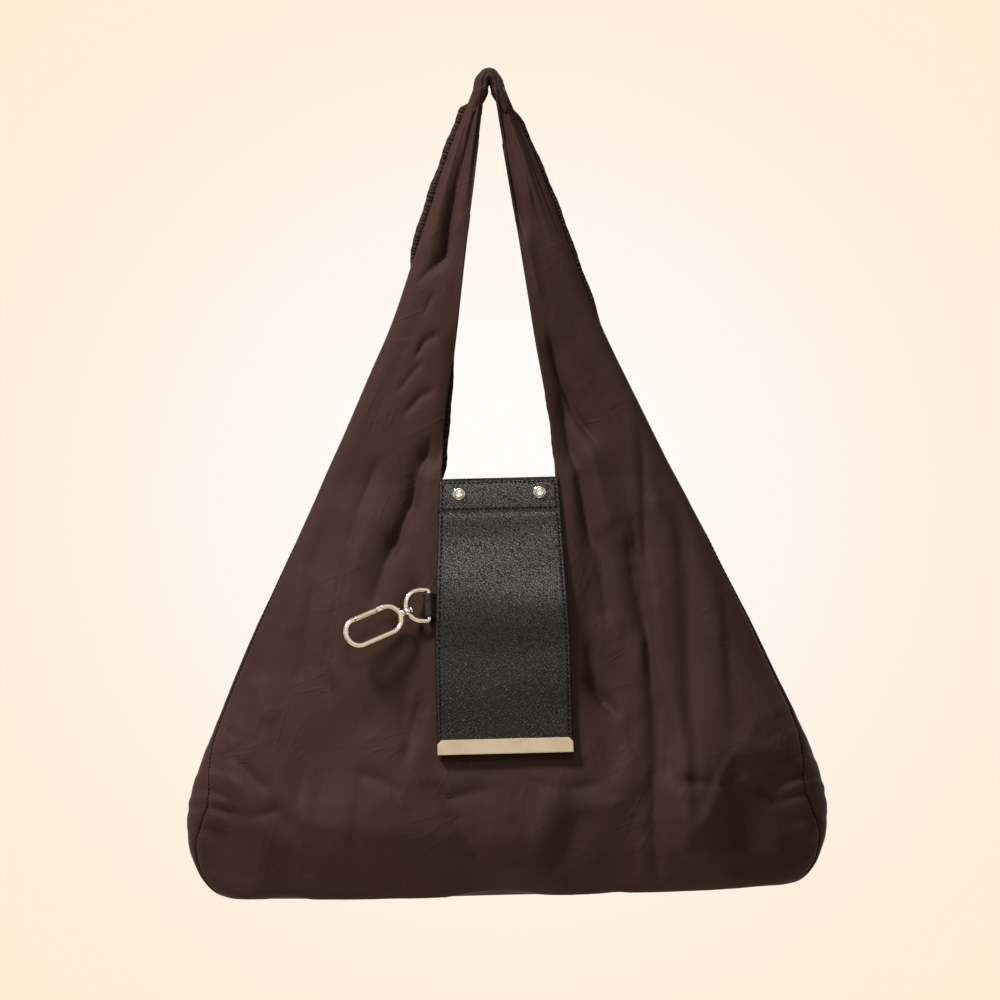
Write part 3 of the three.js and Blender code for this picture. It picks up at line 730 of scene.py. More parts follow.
@dataclass(frozen=True)
class BagForm:
    """The cloth's outer surface: rounded sections that change with height above the base."""

    belly_height: float = 42.0
    belly_half_width: float = 192.0
    belly_half_depth: float = 52.0
    foot_draw_width: float = 24.0
    foot_draw_depth: float = 12.0
    front_foot_height: float = 80.0
    front_foot_half_depth: float = 47.5
    mouth_height: float = 246.0
    mouth_half_depth: float = 16.0
    loop_half_depth: float = 13.0
    power_wide: float = 3.0
    power_deep: float = 2.2
    seam_share: float = 0.16
    seam_bow: float = 0.3
    seam_bow_height: float = 58.0
    seam_bow_reach: float = 30.0
    neck_spread: float = 0.12
    flank: HeightCurve = HeightCurve(((42, 192), (114, 168.6), (246, 106), (344, 61), (416, 35), (480, 8.2)))
    neckline: HeightCurve = HeightCurve(((246, 34), (344, 22), (480, 3.2)))

    @property
    def lean(self) -> float:
        """How fast the front draws back with height."""
        return (self.mouth_half_depth - self.front_foot_half_depth) / (self.mouth_height - self.front_foot_height)

    def foot(self, h: Array) -> Array:
        """How far the rounded foot has drawn in at each height, as a share."""
        t = np.clip(1 - h / self.belly_height, 0, 1)
        return 1 - np.sqrt(1 - t * t)

    def half_width(self, h: Array) -> Array:
        """Half the section's width at each height."""
        low = self.belly_half_width - self.foot_draw_width * self.foot(h)
        return np.where(h < self.belly_height, low, self.flank(np.maximum(h, self.belly_height)))

    def half_depth(self, h: Array) -> Array:
        """Half the section's depth at each height."""
        low = self.belly_half_depth - self.foot_draw_depth * self.foot(h)
        ends = (self.belly_height, self.belly_half_depth), (self.front_foot_height, self.front_foot_half_depth)
        middle = HeightCurve(ends)(np.clip(h, self.belly_height, self.front_foot_height))
        slope = self.mouth_half_depth + self.lean * (h - self.mouth_height)
        top = np.interp(h, (self.mouth_height, LOOP_HEIGHT), (self.mouth_half_depth, self.loop_half_depth))
        bands = (h < self.belly_height, h < self.front_foot_height, h < self.mouth_height)
        return np.select(bands, (low, middle, slope), top)

    def depth_at(self, x: Array, h: Array) -> Array:
        """Distance of the front or the back from the middle plane."""
        share = np.clip(1 - (np.abs(x) / self.half_width(h)) ** self.power_wide, 0, 1)
        return self.half_depth(h) * share ** (1 / self.power_deep)

    def width_at(self, y: Array, h: Array) -> Array:
        """Distance of the sides from the centre line."""
        share = np.clip(1 - (np.abs(y) / self.half_depth(h)) ** self.power_deep, 0, 1)
        return self.half_width(h) * share ** (1 / self.power_wide)

    def seam_depth(self, h: Array) -> Array:
        """Distance of the gusset seam from the middle plane: it bows forward at the lower corners."""
        bow = self.seam_bow * np.exp(-(((h - self.seam_bow_height) / self.seam_bow_reach) ** 2))
        return self.half_depth(h) * (self.seam_share + bow)

    def neck(self, h: Array) -> Array:
        """Half the neckline above the mouth, and the line that carries on from it below."""
        above = self.neckline(np.maximum(h, self.mouth_height))
        return above + self.neck_spread * np.maximum(self.mouth_height - h, 0)

    def outward(self, p: Array) -> Array:
        """The surface's outward direction at each point."""

        def level(x: Array, y: Array, h: Array) -> Array:
            """What is 1 on the surface and more outside."""
            wide = (np.abs(x) / self.half_width(h)) ** self.power_wide
            return wide + (np.abs(y) / self.half_depth(h)) ** self.power_deep

        step = 0.05
        x, y, h = p.T
        rise = np.stack(
            (
                level(x + step, y, h) - level(x - step, y, h),
                level(x, y + step, h) - level(x, y - step, h),
                level(x, y, h + step) - level(x, y, h - step),
            ),
            1,
        )
        return rise / np.maximum(np.linalg.norm(rise, axis=1), 1e-9)[:, None]


@dataclass(frozen=True)
class Fold:
    """One fold: a line on the front, its width, how far it stands out or falls in, and how sharp it is."""

    line: tuple[tuple[float, float], ...]
    width: float
    rise: float
    crisp: float = 0.0

    def __call__(self, x: Array, h: Array) -> Array:
        """The fold's height at points given by x and height."""
        best = np.full(x.shape, 1e9)
        along = np.zeros(x.shape)
        count = len(self.line) - 1
        for number, ((x0, h0), (x1, h1)) in enumerate(zip(self.line, self.line[1:])):
            dx, dh = x1 - x0, h1 - h0
            t = np.clip(((x - x0) * dx + (h - h0) * dh) / (dx * dx + dh * dh), 0, 1)
            far = np.hypot(x - x0 - t * dx, h - h0 - t * dh)
            near = far < best
            best = np.where(near, far, best)
            along = np.where(near, (number + t) / count, along)
        ends = smooth_step(along * 4 + 0.25) * smooth_step((1 - along) * 4 + 0.25)
        q = (best / self.width) ** 2
        soft = np.exp(-q) * (1 - 0.55 * q)
        sharp = np.exp(-1.7 * best / self.width)
        return self.rise * ends * (soft + (0.45 + 0.55 * self.crisp) * (sharp - soft))


# The large folds, on the front and mirrored on the back; x and height of each line's points.
MAIN_FOLDS = (
    Fold(((79, 226), (84, 170), (90, 112), (88, 60)), 11, -6.0, 0.7),
    Fold(((66, 118), (72, 82), (70, 58)), 14, 3.4, 0.3),
    Fold(((58, 214), (60, 186), (63, 158)), 8, -3.2, 0.8),
    Fold(((72, 218), (78, 190)), 9, 2.0, 0.3),
    Fold(((-62, 218), (-70, 196), (-78, 172)), 9, -3.2, 0.8),
    Fold(((-58, 140), (-60, 92)), 9, -2.6, 0.7),
    Fold(((-86, 214), (-96, 164), (-102, 124)), 10, 2.2, 0.4),
    Fold(((-112, 190), (-122, 128)), 9, -2.2, 0.7),
    Fold(((42, 54), (33, 30), (24, 16)), 11, -3.6, 0.6),
    Fold(((-14, 36), (10, 34)), 26, 4),
    Fold(((-123, 58), (-87, 54)), 30, 3.5),
    Fold(((133, 84), (120, 64), (108, 42)), 12, -3.0, 0.7),
    Fold(((112, 128), (108, 90), (104, 62)), 11, 2.8, 0.3),
    Fold(((150, 104), (139, 82)), 12, 2.2, 0.3),
    Fold(((-158, 84), (-142, 62), (-126, 40)), 12, -2.8, 0.6),
)

# The line along which the belly turns under, from left to right; x and height.
KNEE_LINE = (
    (-200, 76), (-168, 74), (-150, 68), (-136, 58), (-112, 45), (-80, 41), (-50, 39), (-28, 37), (-8, 27), (6, 21),
    (18, 25), (28, 37), (38, 52), (64, 53), (78, 61), (87, 84), (96, 60), (106, 38), (114, 39), (122, 56), (130, 80),
    (152, 81), (176, 78), (200, 76),
)

# The finer folds, from the straps down to the corners.
FINE_FOLDS = (
    Fold(((-9, 480), (-16, 452), (-23, 425), (-28, 401), (-30, 381), (-38, 375)), 3.6, -4.2, 0.8),
    Fold(((-13, 477), (-25, 440), (-36, 401), (-42, 379)), 6, 2.6),
    Fold(((-30, 376), (-40, 372), (-48, 364)), 3, -1.6, 0.8),
    Fold(((-34, 334), (-43, 330), (-49, 320)), 3, -1.5, 0.8),
    Fold(((-37, 301), (-46, 297), (-57, 285)), 3.4, -1.3, 0.8),
    Fold(((-37, 359), (-43, 346)), 2.6, -0.8, 0.8),
    Fold(((-44, 318), (-50, 312), (-60, 300)), 3, -0.9, 0.8),
    Fold(((-24, 336), (-29, 296), (-36, 254)), 6, -2.0, 0.5),
    Fold(((-40, 272), (-48, 249), (-57, 225), (-68, 198)), 7, -4.4, 0.8),
    Fold(((-36, 262), (-46, 242), (-54, 228)), 5, -2.0, 0.8),
    Fold(((-46, 190), (-58, 170), (-64, 156)), 6, -1.4, 0.8),
    Fold(((-92, 214), (-98, 178), (-106, 138), (-102, 114)), 6, -2.0, 0.9),
    Fold(((-72, 262), (-84, 232), (-92, 206)), 7, -1.4, 0.6),
    Fold(((-119, 202), (-126, 154)), 8, 1.2),
    Fold(((-45, 124), (-52, 108), (-60, 78)), 5, -2.4, 0.9),
    Fold(((6, 477), (10, 451), (14, 421), (19, 392)), 4.5, -4.4, 0.8),
    Fold(((10, 478), (19, 445), (24, 406)), 5, 2),
    Fold(((3, 469), (7, 445), (10, 421), (18, 394)), 3, -2.2, 0.8),
    Fold(((19, 392), (24, 372), (27, 352)), 4, 1.0),
    Fold(((32, 332), (38, 306), (46, 286), (59, 267)), 6, -4.0, 0.9),
    Fold(((38, 300), (43, 264), (50, 231), (56, 200)), 7, -3.2, 0.8),
    Fold(((54, 268), (61, 236), (67, 212)), 10, 2.2),
    Fold(((46, 130), (57, 117), (68, 104)), 5, -3.6, 0.9),
    Fold(((49, 150), (54, 130), (60, 108)), 5, -2.6, 0.9),
    Fold(((76, 212), (80, 178), (84, 150)), 8, -2.4, 0.7),
    Fold(((92, 118), (97, 92), (94, 66)), 7, -1.8, 0.8),
    Fold(((-34, 64), (-27, 42), (-19, 20)), 5, -2.6, 0.9),
    Fold(((-46, 70), (-34, 60), (-8, 64)), 6, -1.5, 0.8),
    Fold(((34, 69), (24, 49), (14, 28)), 9, 2.0),
    Fold(((10, 70), (34, 62), (58, 66)), 6, -1.6, 0.8),
    Fold(((140, 70), (124, 62), (100, 66)), 6, -2.0, 0.8),
    Fold(((104, 214), (116, 170), (128, 132)), 8, -1.5, 0.8),
    Fold(((92, 236), (104, 204)), 8, 1.3),
    Fold(((128, 150), (140, 118)), 8, -1.4, 0.7),
    Fold(((-164, 90), (-150, 72), (-138, 66)), 7, -1.6, 0.8),
    Fold(((-170, 56), (-150, 50), (-128, 56)), 7, -1.5, 0.8),
    Fold(((-90, 76), (-72, 70), (-60, 62)), 7, -1.5, 0.8),
    Fold(((-148, 132), (-138, 104)), 8, 1.3),
    Fold(((150, 62), (164, 52)), 7, -1.6, 0.8),
    Fold(((106, 66), (104, 40), (100, 20)), 14, 2.6),
    Fold(((140, 64), (144, 42), (140, 22)), 26, -3.6),
)


def small_wrinkles(count: int, seed: int) -> tuple[Fold, ...]:
    """Short sharp wrinkles scattered over one face, most of them running towards the straps.

    Args:
        count: How many.
        seed: Seed of their places.

    Returns:
        The wrinkles.
    """
    chance = np.random.default_rng(seed)
    made = []
    for _ in range(count):
        h = chance.uniform(14, 430)
        reach = float(np.interp(h, (0, 60, 246, 344, 480), (165, 175, 96, 52, 10)))
        x = chance.uniform(-reach, reach)
        way = math.atan2(470 - h, -0.55 * x) + chance.normal(0, 0.45)
        if h < 75 and chance.random() < 0.6:
            way = chance.normal(0, 0.5)
        length = chance.uniform(10, 26) * (1.0 if h < 300 else 0.6)
        bend = chance.normal(0, 0.25)
        turns = [(t * length, way + bend * t) for t in (-1, 0, 1)]
        line = tuple((x + far * math.cos(turn), h + far * math.sin(turn)) for far, turn in turns)
        width = chance.uniform(2.4, 4.6)
        rise = chance.choice((-1.0, -1.0, 1.0)) * chance.uniform(0.2, 0.6)
        made.append(Fold(line, width, rise, 0.9))
    return tuple(made)


@dataclass
class ClothBody:
    """The nylon: body, gussets, base and straps as one sewn shell, with its gathered edges and crown."""

    finishes: Finishes
    form: BagForm = field(default_factory=BagForm)
    neck_columns: int = 24
    strap_columns: int = 84
    side_columns: int = 24
    base_rows: int = 8
    foot_rows: int = 22
    wall_rows: int = 220
    thickness: float = 0.5
    wrinkles: int = 60
    strip_half: float = 53.0
    strip_low: float = 67.0
    strip_high: float = 262.0
    clip_spot: tuple[float, float] = (-70.0, 164.0)
    calm_from: tuple[float, float] = (90.0, 88.0)
    edge_top: float = 474.0
    neck_top: float = 345.0
    crown_flare: float = 5.0
    crown_leg: float = 14.0
    crown_rise: float = 1.85
    bend_from: float = -0.252
    bend_to: float = -0.186
    panel_cut: tuple[float, float] = (0.41, 0.55)
    panel_area: float = 0.116
    gusset_cut: tuple[float, float] = (0.044, 0.51)
    gusset_area: float = 0.007

    @property
    def zones(self) -> Array:
        """Columns of each stretch round a section: half the back's neck, back, side, front, neck, and so on round."""
        neck, strap, side = self.neck_columns, self.strap_columns, self.side_columns
        return np.array((neck // 2, strap, side, strap, neck, strap, side, strap, neck // 2))

    def seam_width(self, h: Array) -> Array:
        """Distance of the gusset seam from the centre line."""
        return self.form.width_at(self.form.seam_depth(h), h)

    def section(self, u: Array, h: Array) -> tuple[Array, Array, Array]:
        """Walks round the sections.

        Args:
            u: Share of the way round, from the middle of the back towards the left.
            h: Height of each point.

        Returns:
            The points, -1 for the front, 1 for the back or 0 for a side, and how far along a zone each point is.
        """
        counts = self.zones
        starts = np.concatenate(((0,), np.cumsum(counts)))
        column = u * starts[-1]
        zone = np.clip(np.searchsorted(starts, column + 1e-6, side="right") - 1, 0, len(counts) - 1)
        s = (column - starts[zone]) / counts[zone]
        neck, seam, deep = self.form.neck(h), self.seam_width(h), self.form.seam_depth(h)
        strap_out = neck + (seam - neck) * np.sin(s * math.pi / 2)
        strap_in = neck + (seam - neck) * np.sin((1 - s) * math.pi / 2)
        left = (-neck * s, -strap_out, -seam, -strap_in)
        right = (neck * (2 * s - 1), strap_out, seam, strap_in, neck * (1 - s))
        x = np.choose(zone, (*left, *right))
        face = np.choose(zone, (1, 1, 0, -1, -1, -1, 0, 1, 1))
        y = face * self.form.depth_at(x, h)
        side_y = np.where(zone == 2, deep * (1 - 2 * s), deep * (2 * s - 1))
        side_x = np.sign(x) * self.form.width_at(side_y, h)
        x, y = np.where(face == 0, side_x, x), np.where(face == 0, side_y, y)
        return np.stack((x, y, h), 1), face, s

    def folds(self, p: Array, face: Array, s: Array) -> Array:
        """How far the cloth stands out of its smooth form.

        Args:
            p: Points on the smooth form.
            face: -1 for the front, 1 for the back or 0 for a side.
            s: How far along its zone each point is.

        Returns:
            The rise of each point.
        """
        x, _, h = p.T
        side, front, back = face == 0, face < 0, face > 0
        rise = np.zeros(x.shape)
        for fold in MAIN_FOLDS:
            rise[front] += fold(x[front], h[front])
            rise[back] += 0.85 * fold(-x[back], h[back])
        for fold in FINE_FOLDS:
            rise[front] += 1.6 * fold(x[front], h[front])
            rise[back] += fold(3 - x[back] * 1.03, h[back] * 0.98 + 4)
        for shown, wrinkle_seed, crease_seed in ((front, 3, 21), (back, 11, 34)):
            for fold in small_wrinkles(self.wrinkles, wrinkle_seed):
                rise[shown] += fold(x[shown], h[shown])
            rise[shown] += self.creases(x[shown], h[shown], crease_seed)
        calm = smooth_step((x - self.calm_from[0]) / 18) * smooth_step((h - self.calm_from[1]) / 22) * front
        rise *= 1 - 0.72 * calm
        rise += self.turned_under(np.where(back, -x, x), h) * ~side * smooth_step(h / 16)
        upright = smooth_step((h - self.strip_low) / 14) * smooth_step((self.strip_high - h) / 16)
        under_strip = smooth_step((self.strip_half - np.abs(x)) / 11) * upright
        from_edge = self.seam_width(h) - np.abs(x)
        rise *= (1 - under_strip * np.where(front, 1.0, 0.4)) * smooth_step(from_edge / 16)
        near_clip = np.exp(-(((x - self.clip_spot[0]) / 34) ** 2) - ((h - self.clip_spot[1]) / 26) ** 2)
        rise -= np.maximum(rise, 0) * near_clip * front
        rise += self.pleats(s, h, side)
        rise += self.puckers(np.where(side, np.minimum(s, 1 - s) * 40, np.abs(from_edge) * 1.3), h, side)
        return rise + self.unevenness(p) * (1 - 0.8 * under_strip)

    @staticmethod
    def pleats(s: Array, h: Array, side: Array) -> Array:
        """The pleats that draw the straps together towards the crown.

        Args:
            s: How far along its zone each point is.
            h: Height above the base.
            side: Whether each point is on a gusset.

        Returns:
            The rise at each point.
        """
        wide = 1.1 * np.sin(s * FULL_TURN * 2.6 + 0.7 + h * 0.013)
        narrow = 0.5 * np.sin(s * 41 + h * 0.05)
        return smooth_step((h - 372) / 90) * np.where(side, 0.4, 1.0) * (wide + narrow)

    @staticmethod
    def puckers(from_seam: Array, h: Array, side: Array) -> Array:
        """The puckers beside the gusset seams, strongest at the lower corners, and the sunk seams themselves.

        Args:
            from_seam: Distance from the seam.
            h: Height above the base.
            side: Whether each point is on a gusset.

        Returns:
            The rise at each point.
        """
        corner = (np.exp(-(((h - 58) / 38) ** 2)) + 0.06) * np.where(side, 0.4, 1.0)
        fan = h + from_seam * 0.25
        wave = np.sin(fan * 0.43 + 1.5 * np.sin(h * 0.11)) + 0.5 * np.sin(fan * 0.83 + 1.0)
        spread = np.exp(-((from_seam / 22) ** 2)) * (0.35 + 0.65 * smooth_step(from_seam / 6))
        sunk = 1.1 * np.exp(-((from_seam / 1.8) ** 2)) * smooth_step((190 - h) / 60)
        return 1.15 * corner * wave * spread * smooth_step((h - 4) / 12) - sunk

    def turned_under(self, x: Array, h: Array) -> Array:
        """The crisp line along which the hanging cloth turns under towards the base.

        Args:
            x: Across, from the centre line.
            h: Height above the base.

        Returns:
            The rise at each point, highest on the line.
        """
        across = np.linspace(-220, 220, 441)
        spread = np.exp(-((np.arange(-12, 13) / 4.5) ** 2))
        line = np.interp(across, *np.array(KNEE_LINE).T)
        line = np.convolve(np.pad(line, 12, mode="edge"), spread / spread.sum(), mode="valid")
        off = (h - np.interp(x, across, line)) / np.hypot(1, np.interp(x, across, np.gradient(line)))
        fall = np.exp(-1.5 * np.abs(off) / np.where(off > 0, 75, 32))
        return (7.0 + 3.0 * smooth_step((x - 95) / 22)) * fall - 2.6

    def creases(self, x: Array, h: Array, seed: int) -> Array:
        """Crisp creases, most of them hanging down, that come and go across the cloth.

        Args:
            x: Across, from the centre line.
            h: Height above the base.
            seed: Chooses their places.

        Returns:
            The rise at each point.
        """
        chance = np.random.default_rng(seed)
        total = np.zeros(x.shape)
        for number in range(10):
            turn, start, length = chance.normal(0, 0.5), chance.uniform(0, 6.28), chance.uniform(48, 115)
            bend = chance.uniform(0.4, 1.1) * np.sin(x / chance.uniform(40, 90) + h / chance.uniform(50, 120) + start)
            run = (x * math.cos(turn) + h * math.sin(turn)) / length * math.pi + bend + start
            spots = np.sin(x / chance.uniform(26, 60) + start) * np.sin(h / chance.uniform(26, 70) + 2 * start)
            way = -1 if number % 3 else 1
            total += way * 0.03 * length * smooth_step(0.35 + 1.1 * spots) * (np.abs(np.sin(run)) - 0.6)
        return total * smooth_step((270 - h) / 70)

    def unevenness(self, p: Array) -> Array:
        """A light unevenness all over, from waves in many directions."""
        chance = np.random.default_rng(7)
        total = np.zeros(len(p))
        for _ in range(26):
            way = chance.normal(size=3) * (1.0, 1.0, 0.55)
            length = chance.uniform(22, 75)
            size = 0.0015 * length
            total += size * np.sin(p @ (way / np.linalg.norm(way)) * 2 * math.pi / length + chance.uniform(0, 6.28))
        return total

    def panel(self, name: str, first: int, last: int, nodes: Sequence[str]) -> bpy.types.Object:
        """Builds one sewn panel from the base to the loop.

        Args:
            name: The panel's name.
            first: Its first zone round the sections.
            last: The zone after its last one; past the end it comes round to the start.
            nodes: The nodes it stands for.

        Returns:
            The panel.
        """
        rows = self.base_rows + self.foot_rows + self.wall_rows
        low, foot = self.base_rows / rows, (self.base_rows + self.foot_rows) / rows
        counts = np.tile(self.zones, 2)
        begin, columns, whole = counts[:first].sum(), int(counts[first:last].sum()), self.zones.sum()

        def place(u: Array, v: Array) -> Array:
            """Lays the grid on the bag: base, rounded foot, walls and straps."""
            turn = np.clip((v - low) / (foot - low), 0, 1) * math.pi / 2
            wall = np.clip((v - foot) / (1 - foot), 0, 1)
            belly = self.form.belly_height
            h = np.where(v < foot, belly * (1 - np.cos(turn)), belly + (LOOP_HEIGHT - belly) * wall)
            p, face, s = self.section(np.mod(np.rint(begin + u * columns), whole) / whole, h)
            on_base = np.clip(v / low, 0, 1)
            rise = self.folds(p, face, s) * smooth_step(on_base * 2 - 1)
            p = p + self.form.outward(p) * rise[:, None]
            flat = v < low
            p[:, 1] = np.where(flat, p[:, 1] * on_base, p[:, 1])
            p[:, 2] = np.maximum(np.where(flat, 0.2, p[:, 2]), 0.2)
            return p

        piece = Piece(name)
        piece.grid(columns, rows, place)
        mouth = (self.form.mouth_height - LOOP_HEIGHT) * MM
        spots = np.array([f.calc_center_median() for f in piece.bm.faces])
        neck = self.form.neckline(np.maximum(spots[:, 2] / MM + LOOP_HEIGHT, self.form.mouth_height))
        open_here = (spots[:, 2] > mouth) & (np.abs(spots[:, 0]) / MM < neck - 0.2)
        gone = [f for f, cut in zip(piece.bm.faces[:], open_here) if cut]
        bmesh.ops.delete(piece.bm, geom=gone, context="FACES")
        inner = [v for v in piece.bm.verts if not v.is_boundary]
        bmesh.ops.smooth_vert(piece.bm, verts=inner, factor=0.1, use_axis_x=True, use_axis_y=True, use_axis_z=True)
        piece.bm.normal_update()
        if sum(f.normal.xy.dot(f.calc_center_median().xy) for f in piece.bm.faces) < 0:
            bmesh.ops.reverse_faces(piece.bm, faces=piece.bm.faces[:])
        made = piece.done((self.finishes.nylon,), Slot.CLOTH)
        thicken(made, self.thickness)
        self.hang(made)
        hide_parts(*nodes)
        return made

    def hang(self, made: bpy.types.Object) -> None:
        """Bakes a piece of cloth's placement into its mesh."""
        start, end = (0, 0, self.bend_from), (0, 0, self.bend_to)
        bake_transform(made)
        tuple(start)
        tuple(end)

    def ruffle(self, name: str, edge: Array, out: Array, reach: Array, length: float) -> bpy.types.Object:
        """A gathered elastic edge: a narrow strip drawn up into small waves.

        Args:
            name: The piece's name.
            edge: Points along the cloth's edge, in millimetres above the base.
            out: Direction away from the cloth at each point.
            reach: Width of the strip at each point.
            length: Length of a gather, in millimetres.

        Returns:
            The strip.
        """
        steps = np.linalg.norm(np.diff(edge, axis=0), axis=1)
        along = np.concatenate(((0,), np.cumsum(steps)))
        rows = int(along[-1] / 0.4)
        chance = np.random.default_rng(len(name))
        phase = chance.uniform(0, 6.28, 6)

        def place(u: Array, v: Array) -> Array:
            """Lays the strip along the edge and gathers it."""
            run = v * along[-1]
            at = np.stack([np.interp(run, along, edge[:, k]) for k in range(3)], 1)
            way = np.stack([np.interp(run, along, out[:, k]) for k in range(3)], 1)
            wide = np.interp(run, along, reach)
            count = run / length
            turn = count * FULL_TURN + 2.0 * np.sin(count * 0.7 + phase[0]) + np.sin(count * 2.3 + phase[1])
            slant = turn + 1.8 * np.sin(run * 0.21 + phase[2]) * u + 0.7 * np.sin(turn * 0.31 + 3 * u + phase[3])
            crest = 0.7 + 0.5 * np.sin(run * 0.37 + phase[4]) * np.sin(run * 0.15 + phase[5])
            wave = np.sin(slant) + 0.5 * np.sin(slant * 1.63 + phase[1])
            wander = 1 + 0.07 * np.sin(run * 0.23 + phase[2]) + 0.02 * np.sin(run * 0.9 + phase[3])
            held = np.sin(math.pi * (0.1 + 0.8 * u))
            lift = held * 0.55 * crest * wave + 0.9 * np.sin(u * math.pi) ** 0.7
            p = at + way * (wide * u * wander)[:, None]
            p[:, 1] -= lift * np.minimum(wide / 3, 1)
            return p

        piece = Piece(name)
        piece.grid(10, rows, place)
        made = piece.done((self.finishes.hem,), Slot.HEM)
        thicken(made, 0.4, 0.0)
        return made

    def strap_edges(self) -> list[bpy.types.Object]:
        """The gathered elastic along the straps' outer edges."""
        made = []
        for word, side, foot, wide, top in (("left", -1, 370.0, 5.4, 15), ("right", 1, 333.0, 3.6, 9)):
            h = np.linspace(foot, self.edge_top, 60)
            share = (h - foot) / (self.edge_top - foot)
            edge = np.stack((side * (self.form.half_width(h) - 1.0), np.zeros_like(h), h), 1)
            out = np.tile((side * 0.97, -0.1, 0.22), (len(h), 1))
            ends = np.minimum(smooth_step(share * 7), smooth_step((1 - share) * top))
            reach = 0.3 + wide * ends * (0.7 + 0.4 * share)
            strip = self.ruffle(f"{word}_gathered_edge", edge, out, reach, 2.4)
            made.append(carry(strip, Body.HANDLE, f"{word}_strap_elastic"))
        return made

    def on_back(self, x: Array, h: Array) -> Array:
        """Points on the back's folded cloth.

        Args:
            x: Across, from the centre line.
            h: Height above the base.

        Returns:
            Points in millimetres above the base.
        """
        p = np.stack((x, self.form.depth_at(x, h), h), 1)
        p[:, 1] += self.folds(p, np.ones(len(h)), np.zeros(len(h)))
        return p

    def neck_edges(self) -> list[bpy.types.Object]:
        """The gathered elastic along the back of the neckline and over the back edge of the mouth."""
        made = []
        for word, side, back_off in (("left", -1, 1.2), ("right", 1, 3.6)):
            h = np.linspace(248, self.neck_top, 60)
            edge = self.on_back(side * (self.form.neck(h) + back_off), h) - np.array((0.0, 0.6, 0.0))
            out = np.tile((-side, 0.0, -0.1), (len(h), 1))
            reach = 0.2 + 3.8 * smooth_step((self.neck_top - h) / 60) * smooth_step((h - 240) / 20)
            strip = self.ruffle(f"{word}_neck_gather", edge, out, reach, 3.6)
            self.hang(strip)
            made.append(strip)
        x = np.linspace(-33.5, 33.5, 60)
        edge = self.on_back(x, np.full_like(x, self.form.mouth_height)) + np.array((0.0, 1.0, 1.2))
        out = np.tile((0.0, 0.19, -0.98), (len(x), 1))
        strip = self.ruffle("back_mouth_tape", edge, out, np.full(60, 8.0), 5.0)
        return [*made, carry(strip, Body.BAG, "back_mouth_binding")]

    def crown(self) -> bpy.types.Object:
        """The bunched cloth where the straps pass over the hook."""
        piece = Piece("gathered_crown")
        rolls = (
            (-9.2, 4.8, 3.5, 0.2), (-4.7, 5.1, 3.8, -0.4), (0.2, 4.8, 3.9, 0.3), (4.8, 5.1, 3.8, -0.3),
            (9.2, 4.8, 3.5, 0.0),
        )
        leg = np.linspace(1, 0, 10)[:-1]
        arch = np.linspace(0, math.pi, 40)
        for number, (deep, radius, thick, shift) in enumerate(rolls):
            foot = radius + self.crown_flare * leg
            x = np.concatenate((foot, radius * np.cos(arch), -foot[::-1])) + shift
            top = radius * np.sin(arch) * self.crown_rise
            z = np.concatenate((-self.crown_leg * leg, top, -self.crown_leg * leg[::-1])) + LOOP_HEIGHT - 0.6
            sway = 0.6 * np.sin(0.25 * (z - LOOP_HEIGHT) + x * 0.2 + number)
            path = np.stack((x, deep + sway, z), 1)

            def crinkle(angle: Array, run: Array, roll: int = number, size: float = thick) -> Array:
                """The roll's radius, pleated along, creased across and thin at its ends."""
                pleat = np.sin(2.5 * angle + roll * 1.7 + 1.6 * np.sin(4 * run + roll))
                along = 0.3 * (np.abs(pleat) ** 0.7 - 0.7)
                across = 0.04 * np.sin(26 * run + 2 * angle + roll) + 0.03 * np.sin(43 * run - 3 * angle)
                ends = 0.45 + 0.55 * smooth_step(np.minimum(run, 1 - run) * 6)
                return size * (1 + along + across) * ends

            piece.tube(path, crinkle, 36, False)
        return carry(piece.done((self.finishes.hem,), Slot.CLOTH), Body.HANDLE, "strap_crown")

    def seams(self) -> list[bpy.types.Object]:
        """The stitches sunk in the gusset seams of the body."""
        made = []
        for word, side in (("left", -1), ("right", 1)):
            for face_word, face in (("front", -1), ("back", 1)):
                h = np.arange(4, 212, 2.6)
                y = face * self.form.seam_depth(h)
                p = np.stack((side * self.form.width_at(y, h), y, h), 1)
                out = self.form.outward(p)
                rise = self.folds(p, np.zeros(len(h)), np.zeros(len(h)))
                p = in_frame(p + out * (rise + 0.3)[:, None])
                ahead = np.gradient(p, axis=0)
                piece = Piece(f"{word}_{face_word}_gusset_seam")
                for spot, way, up in zip(p, ahead, out):
                    z = Vector(up).normalized()
                    x = (Vector(way) - z * Vector(way).dot(z)).normalized()
                    turn = Matrix((x, z.cross(x), z)).transposed().to_4x4()
                    place = Matrix.Translation(Vector(spot)) @ turn @ Matrix.Scale(MM, 4)
                    piece.stitch((1.0, 0.42, 0.36), 5, place)
                made.append(carry(piece.done((self.finishes.thread,), Slot.HEM), Body.BAG))
        return made

    def build(self) -> list[bpy.types.Object]:
        """Builds all the cloth."""
        front = self.panel("front_cloth", 3, 6, ("front_panel", "left_strap", "right_strap"))
        back = self.panel("back_cloth", 7, 11, ("back_panel", "base_panel"))
        left = self.panel("left_gusset_cloth", 2, 3, ("left_gusset",))
        right = self.panel("right_gusset_cloth", 6, 7, ("right_gusset",))
        crown, edges, hems, seams = self.crown(), self.strap_edges(), self.neck_edges(), self.seams()
        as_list(edges)
        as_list(hems)
        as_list(seams[:2])
        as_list(seams[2:])
        return [front, back, left, right, crown, *edges, *hems, *seams]


